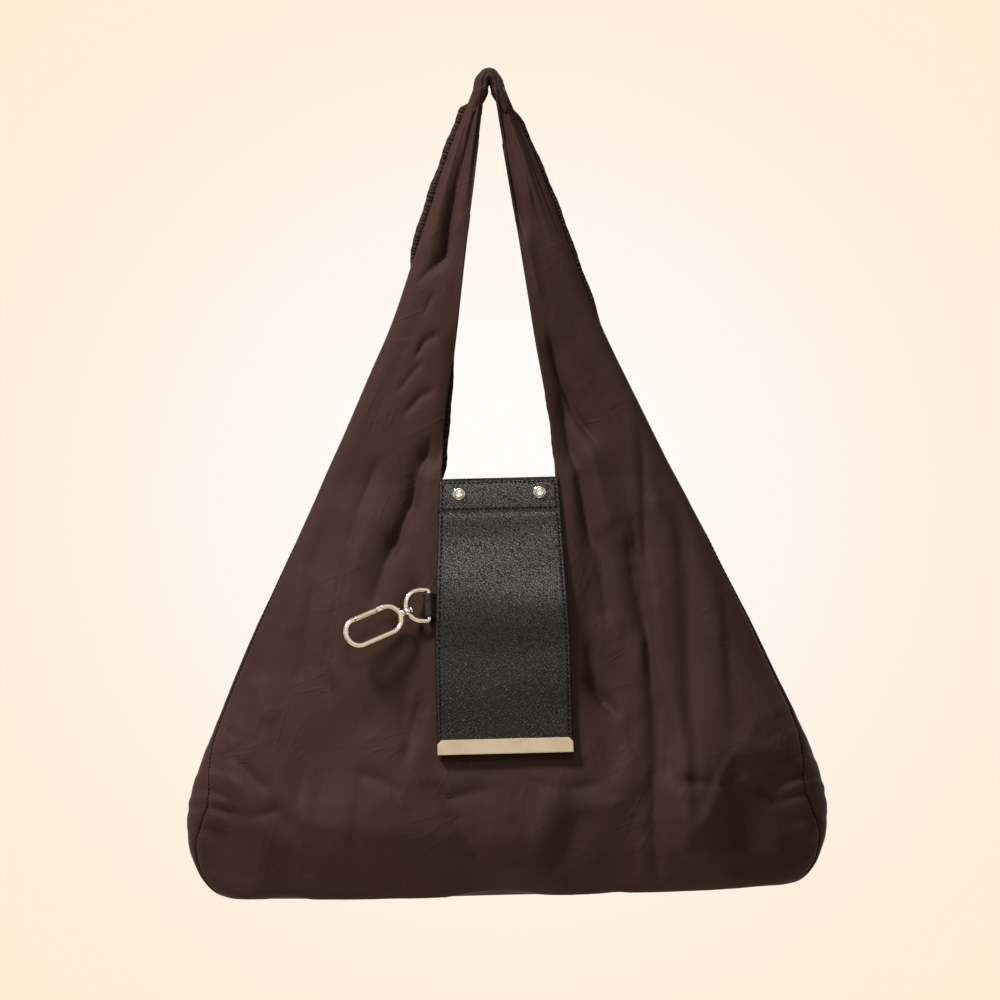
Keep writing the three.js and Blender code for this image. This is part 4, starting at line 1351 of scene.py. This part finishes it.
@dataclass(frozen=True)
class FlapPlane:
    """Where the leather strip lies: distances across it, down it from the mouth, and out of its face."""

    band_height: float = 20.0
    gap: float = 0.3
    thickness: float = 2.5
    bend_half: float = 6.0
    start: tuple[float, float, float] = (0.0, -BagForm.mouth_half_depth, BagForm.mouth_height)
    lean: float = math.atan(-BagForm().lean)

    @property
    def fold(self) -> float:
        """How far down the strip the flap lifts."""
        return self.band_height + self.gap / 2

    @property
    def hinge(self) -> Array:
        """The line across which the flap lifts, on its outer face."""
        down, out = self.ways(self.lean)
        return np.array(self.start) + down * self.fold + out * (self.gap + self.thickness)

    @staticmethod
    def ways(lean: float) -> tuple[Array, Array]:
        """The directions down and out of a plane with this lean."""
        down = np.array((0.0, -math.sin(lean), -math.cos(lean)))
        return down, np.array((0.0, -math.cos(lean), math.sin(lean)))

    def at(self, x: Array, v: Array, n: Array) -> Array:
        """Points on the strip.

        Args:
            x: Across, from the centre line.
            v: Down, from the mouth's edge.
            n: Out of the strip's outer face.

        Returns:
            Points in millimetres above the base.
        """
        x, v, n = np.broadcast_arrays(*(np.atleast_1d(np.asarray(k, float)) for k in (x, v, n)))
        band_down, band_out = self.ways(self.lean)
        flap_down, flap_out = self.ways(FLAP_LEAN)
        run = (v - self.fold)[:, None]
        share = smooth_step((run + self.bend_half) / (2 * self.bend_half))
        out = band_out * (1 - share) + flap_out * share
        p = self.hinge + np.where(run > 0, flap_down, band_down) * run + out * n[:, None]
        p[:, 0] += x
        return p

    def frame_at(self, x: float, v: float, n: float) -> Matrix:
        """A place on the strip as a matrix from millimetres to metres: X across, Y up it, Z out of it."""
        down, out = self.ways(self.lean if v < self.band_height else FLAP_LEAN)
        spot = in_frame(self.at(x, v, n))[0]
        turn = Matrix(((1, 0, 0), -Vector(down), Vector(out))).transposed().to_4x4()
        return Matrix.Translation(Vector(spot)) @ turn @ Matrix.Scale(MM, 4)


@dataclass
class LeatherStrip:
    """The leather strip: band, flap, lining, stitching, edge bar and snaps."""

    finishes: Finishes
    plane: FlapPlane = field(default_factory=FlapPlane)
    top_half: float = 35.5
    hinge_half: float = 36.5
    low_half: float = 40.0
    upper_end: float = 99.15
    strip_end: float = 163.6
    full_end: float = 165.15
    split: float = 58.0
    stitch_pitch: float = 2.75
    stitch_inset: float = 2.3
    stitch_end: float = 155.5
    stud_across: float = 24.0
    stud_down: float = 8.4
    socket_down: float = 150.15
    cloth_room: float = 1.75

    @property
    def inside(self) -> float:
        """Depth of the backing's face behind the strip's outer face, past the cloth between them."""
        return self.plane.thickness + self.cloth_room

    def half(self, v: Array) -> Array:
        """Half the strip's width at each distance down it."""
        marks = (0.0, self.plane.band_height, self.upper_end)
        return np.interp(v, marks, (self.top_half, self.hinge_half, self.low_half))

    def swell(self, x: Array, v: Array) -> Array:
        """How the leather stands out of its plane: soft bends from being folded, held down at its ends."""
        bend = 3.4 * np.exp(-(((v - 74) / 23) ** 2)) - 0.4 * np.exp(-(((v - 99) / 9) ** 2))
        ripple = 0.22 * np.sin(v * 0.16 + x * 0.03) + 0.2 * np.sin(v * 0.09 - x * 0.06 + 1)
        free = smooth_step((v - 22) / 20) * smooth_step((158 - v) / 16)
        fold = -0.35 * np.exp(-(((v - 20.2) / 1.2) ** 2)) - 1.2 * np.clip(1 - v / 20, 0, 1) ** 2
        from_row = self.half(v) - np.abs(x) - self.stitch_inset
        sewn = -0.22 * np.exp(-((from_row / 0.7) ** 2)) * smooth_step((156 - v) / 4)
        return (bend + ripple) * free + fold + sewn

    def section(self) -> tuple[Array, Array, Array]:
        """The strip's closed section, walked from the left edge over the face, round the right edge and back.

        Returns:
            Share of the half width, distance beyond it and depth behind the face, for each point.
        """
        inset = np.array((0, 0.5, 1.0, 1.4, 1.8, 2.3, 2.8, 3.4, 4.4, 7, 11, 16, 22, 29, 36)) / 36
        face = np.concatenate((inset - 1, 1 - inset[-2::-1]))
        turn = np.linspace(math.pi / 2, -math.pi / 2, 8)[1:-1]
        radius = self.plane.thickness / 2
        flat, edge = np.ones(len(face)), np.ones(len(turn))
        share = np.concatenate((face, edge, face[::-1], -edge))
        beyond = radius * np.concatenate((0 * flat, np.cos(turn), 0 * flat, -np.cos(turn)))
        deep = radius * (1 - np.concatenate((flat, np.sin(turn), -flat, -np.sin(turn))))
        return share, beyond, deep

    def part(self, name: str, start: float, end: float, rows: int) -> bpy.types.Object:
        """A stretch of the strip with its outer leather and its lining.

        Args:
            name: The piece's name.
            start: Where it starts, down from the mouth.
            end: Where it ends.
            rows: Rows of faces.

        Returns:
            The piece.
        """
        share, beyond, deep = self.section()
        count = len(share)

        def place(u: Array, v: Array) -> Array:
            """Lays the grid round the strip."""
            column = np.rint(u * count).astype(int) % count
            down = start + (1 - v) * (end - start)
            radius = self.plane.thickness / 2
            x = share[column] * (self.half(down) - radius) + beyond[column]
            return self.plane.at(x, down, self.swell(x, down) - deep[column])

        piece = Piece(name)
        piece.grid(count, rows, place, True)
        bmesh.ops.recalc_face_normals(piece.bm, faces=piece.bm.faces[:])
        for face in piece.bm.faces:
            face.material_index = 1 if face.normal.y > 0.6 else 0
        if start == 0:
            top = max(v.co.z for v in piece.bm.verts) - 1.5 * MM
            rim = [e for e in piece.bm.edges if e.is_boundary and all(v.co.z > top for v in e.verts)]
            bmesh.ops.holes_fill(piece.bm, edges=rim, sides=count)
        return piece.done((self.finishes.leather, self.finishes.lining), Slot.LEATHER)

    def leather(self) -> list[bpy.types.Object]:
        """The strip in two runs, each spanning one fold."""
        fold, crease = self.plane.fold, self.upper_end
        top = self.part("leather_band_and_flap", 0.0, self.split, 44)
        low = self.part("leather_flap_end", self.split, self.strip_end, 80)

        def spot(v: float) -> tuple[float, ...]:
            """A place on the strip's centre line."""
            return tuple(in_frame(self.plane.at(0, v, 0))[0])

        spot(fold - 3)
        spot(fold + 7)
        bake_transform(top)
        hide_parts("mouth_band", "flap_upper_leather")
        spot(crease - 9)
        spot(crease + 9)
        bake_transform(low)
        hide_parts("flap_upper_lining", "flap_lower_leather", "flap_lower_lining")
        return [top, low]

    def stitch_row(self, name: str, spots: Iterable[tuple[float, float, float]], body: Body) -> bpy.types.Object:
        """A run of stitches.

        Args:
            name: The piece's name.
            spots: Across, down and the stitch's turn in radians, for each stitch.
            body: What it rides on.

        Returns:
            The stitches.
        """
        piece = Piece(name)
        for x, v, turn in spots:
            rise = float(self.swell(np.array(x), np.array(v))) + 0.12
            piece.stitch((1.1, 0.48, 0.36), 6, self.plane.frame_at(x, v, rise) @ Matrix.Rotation(turn, 4, "Z"))
        return carry(piece.done((self.finishes.thread,), Slot.LEATHER), body)

    def stitching(self) -> list[bpy.types.Object]:
        """All the stitch rows of the strip."""
        upright = math.pi / 2

        def edges(start: float, end: float) -> Iterable[tuple[float, float, float]]:
            """Stitches down both edges of a stretch."""
            count = round((end - start) / self.stitch_pitch)
            for number in range(count):
                v = start + (number + 0.5) * (end - start) / count
                x = float(self.half(np.array(v))) - self.stitch_inset
                yield -x, v, upright - 0.1
                yield x, v, upright + 0.1

        def across(v: float) -> Iterable[tuple[float, float, float]]:
            """Stitches across the strip."""
            half = float(self.half(np.array(v))) - self.stitch_inset
            count = round(2 * half / self.stitch_pitch)
            for number in range(count):
                yield (number + 0.5) / count * 2 * half - half, v, 0.1

        fold = self.plane.band_height
        band = [*edges(2.6, fold - 1.6), *across(1.9), *across(fold - 2.2)]
        return [
            self.stitch_row("band_stitches", band, Body.BAG),
            self.stitch_row("upper_stitches", edges(fold + 1, self.upper_end - 1), Body.FLAP_UPPER),
            self.stitch_row("lower_stitches", edges(self.upper_end + 1, self.stitch_end), Body.FLAP_LOWER),
        ]

    def bar(self) -> bpy.types.Object:
        """The gold channel clamped over the strip's end, its upper corners cut off."""
        high, face, cut, edge, lift, half = 9.0, 1.0, 2.6, 0.45, 0.3, self.low_half
        straight = {"profile": 0.5, "affect": "EDGES", "material": -1}
        piece = Piece("gold_edge_bar")
        verts = bmesh.ops.create_cube(piece.bm, size=1.0)["verts"]
        bmesh.ops.scale(piece.bm, vec=(2 * half, high, face), verts=verts)
        upright = [e for e in piece.bm.edges if abs(e.verts[0].co.x - e.verts[1].co.x) < 1e-6]
        corners = [e for e in upright if all(v.co.y > 0 for v in e.verts)]
        bmesh.ops.bevel(piece.bm, geom=corners, offset=cut, segments=1, **straight)
        front = [e for e in piece.bm.edges if e.calc_length() > 0.5 and all(v.co.z > 0 for v in e.verts)]
        bmesh.ops.bevel(piece.bm, geom=front, offset=edge, segments=3, **straight)
        place = self.plane.frame_at(0, self.full_end - high / 2, lift + face / 2)
        bmesh.ops.transform(piece.bm, matrix=place, verts=piece.bm.verts[:])
        deep = self.plane.thickness + lift
        web = self.plane.frame_at(0, self.full_end - 0.5, (lift - deep) / 2)
        piece.block((2 * half - 0.1, 1.0, deep + 1.5), web, 0.3)
        back = self.plane.frame_at(0, self.full_end - 3.5, -deep - 0.5)
        piece.block((2 * half - 0.1, 7.0, 1.0), back, 0.3)
        return carry(piece.done((self.finishes.gold,), Slot.GOLD, False), Body.FLAP_LOWER, "edge_bar")

    def snaps(self) -> list[bpy.types.Object]:
        """Studs on the band and sockets behind the flap, with their rivets."""
        made = []
        stud = (
            (1.3, 0.2), (3.7, 0.0), (4.0, 0.25), (4.0, 0.6), (3.75, 0.95), (3.1, 1.1), (2.75, 1.35), (2.65, 1.8),
            (2.9, 2.25), (2.95, 2.6), (2.75, 2.9), (2.4, 3.0), (2.15, 2.85), (2.0, 2.4), (2.0, 1.1), (1.3, 0.9),
        )
        post = ((0, 0.2), (1.2, 0.2), (1.2, 1.0), (1.75, 1.15), (1.8, 1.35), (1.5, 1.5), (0.9, 1.35), (0, 1.2))
        socket = (
            (1.5, 0.0), (4.3, 0.0), (4.5, 0.25), (4.5, 1.5), (4.3, 1.85), (3.9, 2.0), (3.0, 2.0), (2.75, 1.85),
            (2.7, 1.5), (2.85, 1.0), (2.7, 0.6), (1.5, 0.6),
        )
        flange = ((0, 0.0), (2.6, 0.0), (3.4, -0.2), (3.75, -0.5), (3.4, -0.75), (2.4, -0.95), (0, -1.05))
        tail = ((0, 0.1), (1.3, 0.1), (1.3, 0.75), (1.75, 0.85), (1.8, 1.05), (1.4, 1.2), (0, 1.1))
        behind = Matrix.Rotation(math.pi, 4, "X")
        for word, x in (("left", -self.stud_across), ("right", self.stud_across)):
            rise = 0.1 + float(self.swell(np.array(x), np.array(self.stud_down)))
            seat = self.plane.frame_at(x, self.stud_down, rise)
            inside = self.plane.frame_at(x, self.stud_down, -self.inside - 1.3)
            back = self.plane.frame_at(x, self.socket_down, -self.plane.thickness - 0.15) @ behind
            for kind, place, body, profiles in (
                ("snap_stud", seat, Body.BAG, (stud, post)),
                ("stud_rivet", inside, Body.BAG, (flange,)),
                ("snap_socket", back, Body.FLAP_LOWER, (socket,)),
                ("socket_rivet", back, Body.FLAP_LOWER, (tail,)),
            ):
                piece = Piece(f"{word}_{kind}")
                for profile in profiles:
                    piece.turned(profile, place)
                made.append(carry(piece.done((self.finishes.cast,), Slot.GOLD), body, f"{kind}_{word}"))
        return made

    def backing(self) -> bpy.types.Object:
        """The patch inside the mouth that the studs' rivets clamp."""

        def place(u: Array, v: Array) -> Array:
            """Lays the patch behind the cloth."""
            return self.plane.at((2 * u - 1) * 34, 1.5 + (1 - v) * 17, np.full_like(u, -self.inside))

        piece = Piece("band_backing_patch")
        piece.grid(20, 8, place)
        made = piece.done((self.finishes.lining,), Slot.LINING)
        thicken(made, 1.0)
        return carry(made, Body.BAG, "band_backing")

    def build(self) -> list[bpy.types.Object]:
        """Builds the strip and all that is on it."""
        return [*self.leather(), *self.stitching(), self.bar(), *self.snaps(), self.backing()]


@dataclass
class SwivelClip:
    """Leather tab, bow, swivel pin and oval clip with its gate."""

    finishes: Finishes
    seat: tuple[float, float, float] = (-43.163291, -34.547935, 172.440253)
    tilt: float = math.radians(15)
    droop: float = math.radians(24)
    bow_arc: float = 4.7
    bow_half: float = 10.8
    wire: float = 3.0
    clip_start: float = 12.6
    clip_length: float = 38.5
    clip_half: float = 9.5
    clip_wire: float = 3.2
    gate_from_end: float = 11.25
    gate_length: float = 16.7

    def tab_frame(self) -> Matrix:
        """The tab's own frame: Y up the flap, Z out of it, at the bow's bar; millimetres above the base."""
        turn = Matrix.Rotation(math.pi / 2 - FLAP_LEAN, 4, "X")
        return Matrix.Translation(self.seat) @ turn

    def bow_frame(self) -> Matrix:
        """The bow's own frame, tilted off the cloth."""
        return self.tab_frame() @ Matrix.Rotation(self.tilt, 4, "Y")

    def clip_frame(self) -> Matrix:
        """The clip's own frame: X along the swivel axis, away from the bow."""
        slide = Matrix.Translation((-self.bow_arc, 0, 0))
        return self.bow_frame() @ slide @ Matrix.Rotation(math.pi + self.droop, 4, "Z")

    @staticmethod
    def spots(place: Matrix, points: Array) -> Array:
        """Points taken through a matrix, still in millimetres above the base."""
        turn = np.array(place)
        return points @ turn[:3, :3].T + turn[:3, 3]

    @staticmethod
    def to_frame(place: Matrix) -> Matrix:
        """A matrix in millimetres above the base, as one that ends in metres in the frame."""
        return Matrix.Scale(MM, 4) @ Matrix.Translation((0, 0, -LOOP_HEIGHT)) @ place

    def gold(self, piece: Piece, body: Body, *nodes: str) -> bpy.types.Object:
        """Finishes a gold piece.

        Args:
            piece: The piece.
            body: What it rides on.
            nodes: The nodes it stands for.

        Returns:
            The object.
        """
        return carry(piece.done((self.finishes.cast,), Slot.GOLD), body, *nodes)

    def tab(self) -> bpy.types.Object:
        """The leather loop round the bow's bar."""
        inner, leather, reach, high = 2.19, 1.0, 4.2, 14.0
        radius = inner + leather
        angles = np.linspace(math.radians(38), 1.5 * math.pi, 30)
        loop = np.stack((radius * np.cos(angles), radius * np.sin(angles)), 1)
        path = np.concatenate((((reach + 1.5, 2.5 - radius),), loop, ((reach - 0.1, -radius),)))
        steps = np.concatenate(((0,), np.cumsum(np.linalg.norm(np.diff(path, axis=0), axis=1))))
        place_tab = self.tab_frame()

        def place(u: Array, v: Array) -> Array:
            """Bends a strip of leather round the bar."""
            run = v * steps[-1]
            x, n = (np.interp(run, steps, path[:, k]) for k in (0, 1))
            return self.spots(place_tab, np.stack((x, (u - 0.5) * high, n), 1))

        piece = Piece("clip_tab_loop")
        piece.grid(6, 56, place)
        made = piece.done((self.finishes.leather,), Slot.LEATHER)
        thicken(made, leather, -1.0 if self.faces_out(made) else 1.0)
        soften(made, 0.3)
        return carry(made, Body.FLAP_UPPER, "clip_tab")

    def faces_out(self, made: bpy.types.Object) -> bool:
        """Whether a looped sheet's faces point away from the bow's bar."""
        bar = Vector(in_frame(np.array((self.seat,)))[0])
        return sum(f.normal.dot(f.center - bar) for f in made.data.polygons) > 0

    def bow(self) -> bpy.types.Object:
        """The D-shaped bow with the swivel's boss."""
        mid, bar = self.bow_half - self.wire / 2, 1.6
        arc = np.linspace(math.pi / 2, 1.5 * math.pi, 40)
        round_side = np.stack((mid * np.cos(arc) - self.bow_arc, mid * np.sin(arc)), 1)
        low = np.linspace(-math.pi / 2, 0, 8)
        low_corner = np.stack((bar * np.cos(low) - bar, bar * np.sin(low) - mid + bar), 1)
        high = np.linspace(0, math.pi / 2, 8)
        high_corner = np.stack((bar * np.cos(high) - bar, bar * np.sin(high) + mid - bar), 1)
        flat = np.concatenate((round_side, low_corner, high_corner))
        path = self.spots(self.bow_frame(), np.column_stack((flat, np.zeros(len(flat)))))
        piece = Piece("clip_swivel_bow").tube(path, self.squarish(1.5, 2.6), 20, True)
        boss = ((1.4, -1.8), (2.2, -1.8), (2.55, -1.5), (2.6, 1.5), (2.2, 1.8), (1.4, 1.8))
        axis = self.clip_frame() @ Matrix.Translation((mid, 0, 0)) @ Matrix.Rotation(math.pi / 2, 4, "Y")
        piece.turned(boss, self.to_frame(axis), 28)
        return self.gold(piece, Body.BOW, "swivel_bow")

    @staticmethod
    def squarish(half: float, power: float) -> Callable[[Array, Array], Array]:
        """The radius of a squarish round section over its angle.

        Args:
            half: Half its width.
            power: 2 is round, and more is squarer.

        Returns:
            The radius as a function of angle.
        """

        def radius(angle: Array, _: Array) -> Array:
            """The radius at each angle."""
            c, s = np.abs(np.cos(angle)), np.abs(np.sin(angle))
            return half * (c**power + s**power) ** (-1 / power)

        return radius

    def pin(self) -> bpy.types.Object:
        """The swivel pin, its domed head inside the bow."""
        head_end = self.bow_half - self.wire / 2 - 1.8 - 0.3
        tail = self.clip_start + 1.2
        dome = ((0, -1.35), (1.2, -1.3), (1.9, -1.0), (2.2, -0.6), (2.2, 0.0), (1.1, 0.0))
        profile = [*((radius, head_end + rise) for radius, rise in dome), (1.1, tail), (0, tail)]
        axis = self.clip_frame() @ Matrix.Rotation(math.pi / 2, 4, "Y")
        return self.gold(Piece("clip_swivel_pin").turned(profile, self.to_frame(axis), 28), Body.CLIP, "swivel_pin")

    def frame_piece(self) -> bpy.types.Object:
        """The oval frame, open along one side for the gate, with its neck and hinge cheeks."""
        mid = self.clip_half - self.clip_wire / 2
        centre = self.clip_start + self.clip_length / 2
        straight = self.clip_length / 2 - self.clip_half
        hinge = self.clip_start + self.gate_from_end
        fork_end, gate_end = hinge + 2.0, hinge + self.gate_length + 0.3
        right = np.linspace(-math.pi / 2, math.pi / 2, 26)
        left = np.linspace(math.pi / 2, 1.5 * math.pi, 26)
        far = np.stack((centre + straight + mid * np.cos(right), mid * np.sin(right)), 1)
        near = np.stack((centre - straight + mid * np.cos(left), mid * np.sin(left)), 1)
        flat = np.concatenate((((gate_end, -mid),), far, near, ((hinge - 0.9, -mid),)))
        place = self.clip_frame()
        path = self.spots(place, np.column_stack((flat, np.zeros(len(flat)))))
        piece = Piece("clip_oval_frame").tube(path, self.squarish(self.clip_wire / 2, 3.0), 22, False)
        for level in (-1.2, 1.2):
            cheek = place @ Matrix.Translation(((hinge - 1.0 + fork_end) / 2, -mid, level))
            piece.block((fork_end - hinge + 1.0, self.clip_wire - 0.1, 0.8), self.to_frame(cheek), 0.3)
        start = self.bow_half - self.wire / 2 + 1.8 + 0.3
        end = self.clip_start + 0.9
        neck = ((1.4, start), (1.9, start), (2.2, start + 0.3), (2.3, end), (1.4, end))
        axis = place @ Matrix.Rotation(math.pi / 2, 4, "Y")
        piece.turned(neck, self.to_frame(axis), 28)
        return self.gold(piece, Body.CLIP, "clip_frame")

    def gate(self) -> list[bpy.types.Object]:
        """The gate with its knuckle, pin and spring."""
        mid = self.clip_half - self.clip_wire / 2
        hinge = self.clip_start + self.gate_from_end
        place = self.clip_frame() @ Matrix.Translation((hinge, -mid, 0))
        run = np.linspace(2.75, self.gate_length, 30)
        path = self.spots(place, np.stack((run, np.zeros(30), np.zeros(30)), 1))
        path[:, 2] += 1e-6 * np.arange(30) ** 2
        leaf = Piece("clip_gate_arm").tube(path, self.squarish(self.clip_wire / 2, 3.0), 22, False)
        knuckle = ((0.85, -0.5), (1.3, -0.5), (1.35, -0.4), (1.35, 0.4), (1.3, 0.5), (0.85, 0.5))
        leaf.turned(knuckle, self.to_frame(place), 24)
        tongue = place @ Matrix.Translation((2.2, 0, 0))
        leaf.block((2.2, 2.5, 1.0), self.to_frame(tongue), 0.15)
        pin = ((0, -1.6), (0.4, -1.6), (0.55, -1.45), (0.55, 1.45), (0.4, 1.6), (0, 1.6))
        rivet = Piece("clip_gate_pin").turned(pin, self.to_frame(place), 20)
        spring = place @ Matrix.Translation((7.0, 1.45, 0))
        wire = Piece("clip_gate_spring").block((8.0, 0.4, 0.6), self.to_frame(spring), 0.12)
        return [
            self.gold(leaf, Body.GATE, "clip_gate"),
            self.gold(rivet, Body.CLIP, "gate_pin"),
            self.gold(wire, Body.GATE, "gate_spring"),
        ]

    def build(self) -> list[bpy.types.Object]:
        """Builds the tab and the whole clip."""
        return [self.tab(), self.bow(), self.pin(), self.frame_piece(), *self.gate()]


@dataclass
class Studio:
    """Camera, soft lights, pale floor and surroundings."""

    distance: float = 2.4
    view_width: float = 0.6
    roll: float = math.radians(1.4)
    aim: tuple[float, float, float] = (0.0004, 0.0, -0.2462)
    floor_height: float = -0.95

    def camera(self) -> None:
        """A long lens level with the bag, rolled as the photograph is."""
        data = bpy.data.cameras.new("camera")
        data.sensor_width = 36
        data.lens = 36 * self.distance / self.view_width
        made = bpy.data.objects.new("camera", data)
        made.location = (self.aim[0], -self.distance, self.aim[2])
        made.rotation_mode = "XYZ"
        turn = Matrix.Rotation(math.pi / 2, 4, "X") @ Matrix.Rotation(-self.roll, 4, "Z")
        made.rotation_euler = turn.to_euler()
        bpy.context.scene.collection.objects.link(made)
        bpy.context.scene.camera = made

    def lamp(self, name: str, spot: Sequence[float], size: float, power: float, tint: Sequence[float]) -> None:
        """A square soft light aimed at the bag.

        Args:
            name: Its name.
            spot: Where it stands, in metres.
            size: Its side, in metres.
            power: Its power, in watts.
            tint: Its colour.
        """
        data = bpy.data.lights.new(name, "AREA")
        data.shape = "SQUARE"
        data.size = size
        data.energy = power
        data.color = tint
        made = bpy.data.objects.new(name, data)
        made.location = spot
        aim = Vector((0, 0, -0.26)) - Vector(spot)
        made.rotation_mode = "QUATERNION"
        made.rotation_quaternion = aim.to_track_quat("-Z", "Y")
        bpy.context.scene.collection.objects.link(made)

    def lights(self) -> None:
        """Key from the upper left, a weak front light and a light behind."""
        self.lamp("key", (-0.85, -0.75, 1.1), 0.32, 32, (1.0, 0.97, 0.93))
        self.lamp("front", (0.0, -1.3, 0.65), 0.3, 4, (1.0, 0.98, 0.95))
        self.lamp("back", (0.3, 1.8, 0.7), 1.2, 30, (1.0, 0.98, 0.95))

    def world(self) -> None:
        """A cream surround, near white straight behind the bag, that lights softly."""
        made = bpy.data.worlds.new("surround")
        made.use_nodes = True
        s = Shader("surround_nodes")
        s.tree = made.node_tree
        s.tree.nodes.clear()
        way = s.node("ShaderNodeTexCoord", out="Generated")
        across, depth, up = (s.node("ShaderNodeSeparateXYZ", None, {0: way}, axis) for axis in "XYZ")
        whites = ((0.0, 255, 252, 249), (0.04, 255, 250, 245), (0.12, 254, 239, 221), (0.17, 254, 236, 214))
        stops = tuple((far, srgb(*colour)) for far, *colour in whites)
        cream = s.node("ShaderNodeValToRGB", {"stops": stops}, {0: (across**2 + up**2) ** 0.5})
        near = s.mix(up.above(-0.55, 0.2), srgb(96, 84, 74), srgb(222, 212, 197))
        around = s.mix(depth.above(-0.75, 0.35), near, cream)
        mirrored = s.mix(abs(depth + 0.15).above(0.1, 0.4), srgb(62, 53, 46), around)
        direct, glossy, through = (
            s.node("ShaderNodeLightPath", out=f"Is {kind} Ray") for kind in ("Camera", "Glossy", "Transmission")
        )
        light = {"Color": (1.0, 0.96, 0.92, 1.0), "Strength": up.above(-0.5, 0.7) * 0.14 + 0.03}
        ambient = s.node("ShaderNodeBackground", None, light)
        shown = s.node("ShaderNodeBackground", None, {"Color": s.mix(direct, mirrored, cream), "Strength": 1.0})
        both = s.node("ShaderNodeMixShader", None, {0: direct + glossy + through, 1: ambient, 2: shown})
        s.node("ShaderNodeOutputWorld", None, {"Surface": both})
        bpy.data.materials.remove(s.material)
        bpy.context.scene.world = made

    def floor(self) -> None:
        """A pale round floor well below the hanging bag."""
        s = Shader("pale_floor")
        cloud = s.noise(s.place(), 3, 2)
        tone = s.mix(cloud, srgb(244, 228, 208), srgb(248, 234, 216))
        material = s.surface({"Base Color": tone, "Roughness": 0.8, "Specular IOR Level": 0.2})
        piece = Piece("studio_floor")
        bmesh.ops.create_circle(piece.bm, cap_ends=True, segments=96, radius=0.9)
        bmesh.ops.translate(piece.bm, vec=(0, 0, self.floor_height), verts=piece.bm.verts[:])
        piece.placed((material,), False)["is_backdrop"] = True

    def build(self) -> None:
        """Sets up the whole studio."""
        bpy.context.scene.view_settings.view_transform = "Standard"
        self.camera()
        self.lights()
        self.world()
        self.floor()


def main() -> None:
    """Builds every sub-assembly in order and reports its pieces."""
    logging.basicConfig(level=logging.INFO, format="%(name)s: %(message)s")
    finishes = Finishes.make()
    Studio().build()
    for maker in (ClothBody(finishes), LeatherStrip(finishes), SwivelClip(finishes)):
        for made in maker.build():
            LOG.info("%s: %s, %d faces", type(maker).__name__, made.name, len(made.data.polygons))
    boxes = {"cad": CAD_BOX, "visual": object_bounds()}
    {key: [list(corner) for corner in corners] for key, corners in boxes.items()}


if __name__ == "__main__":
    main()
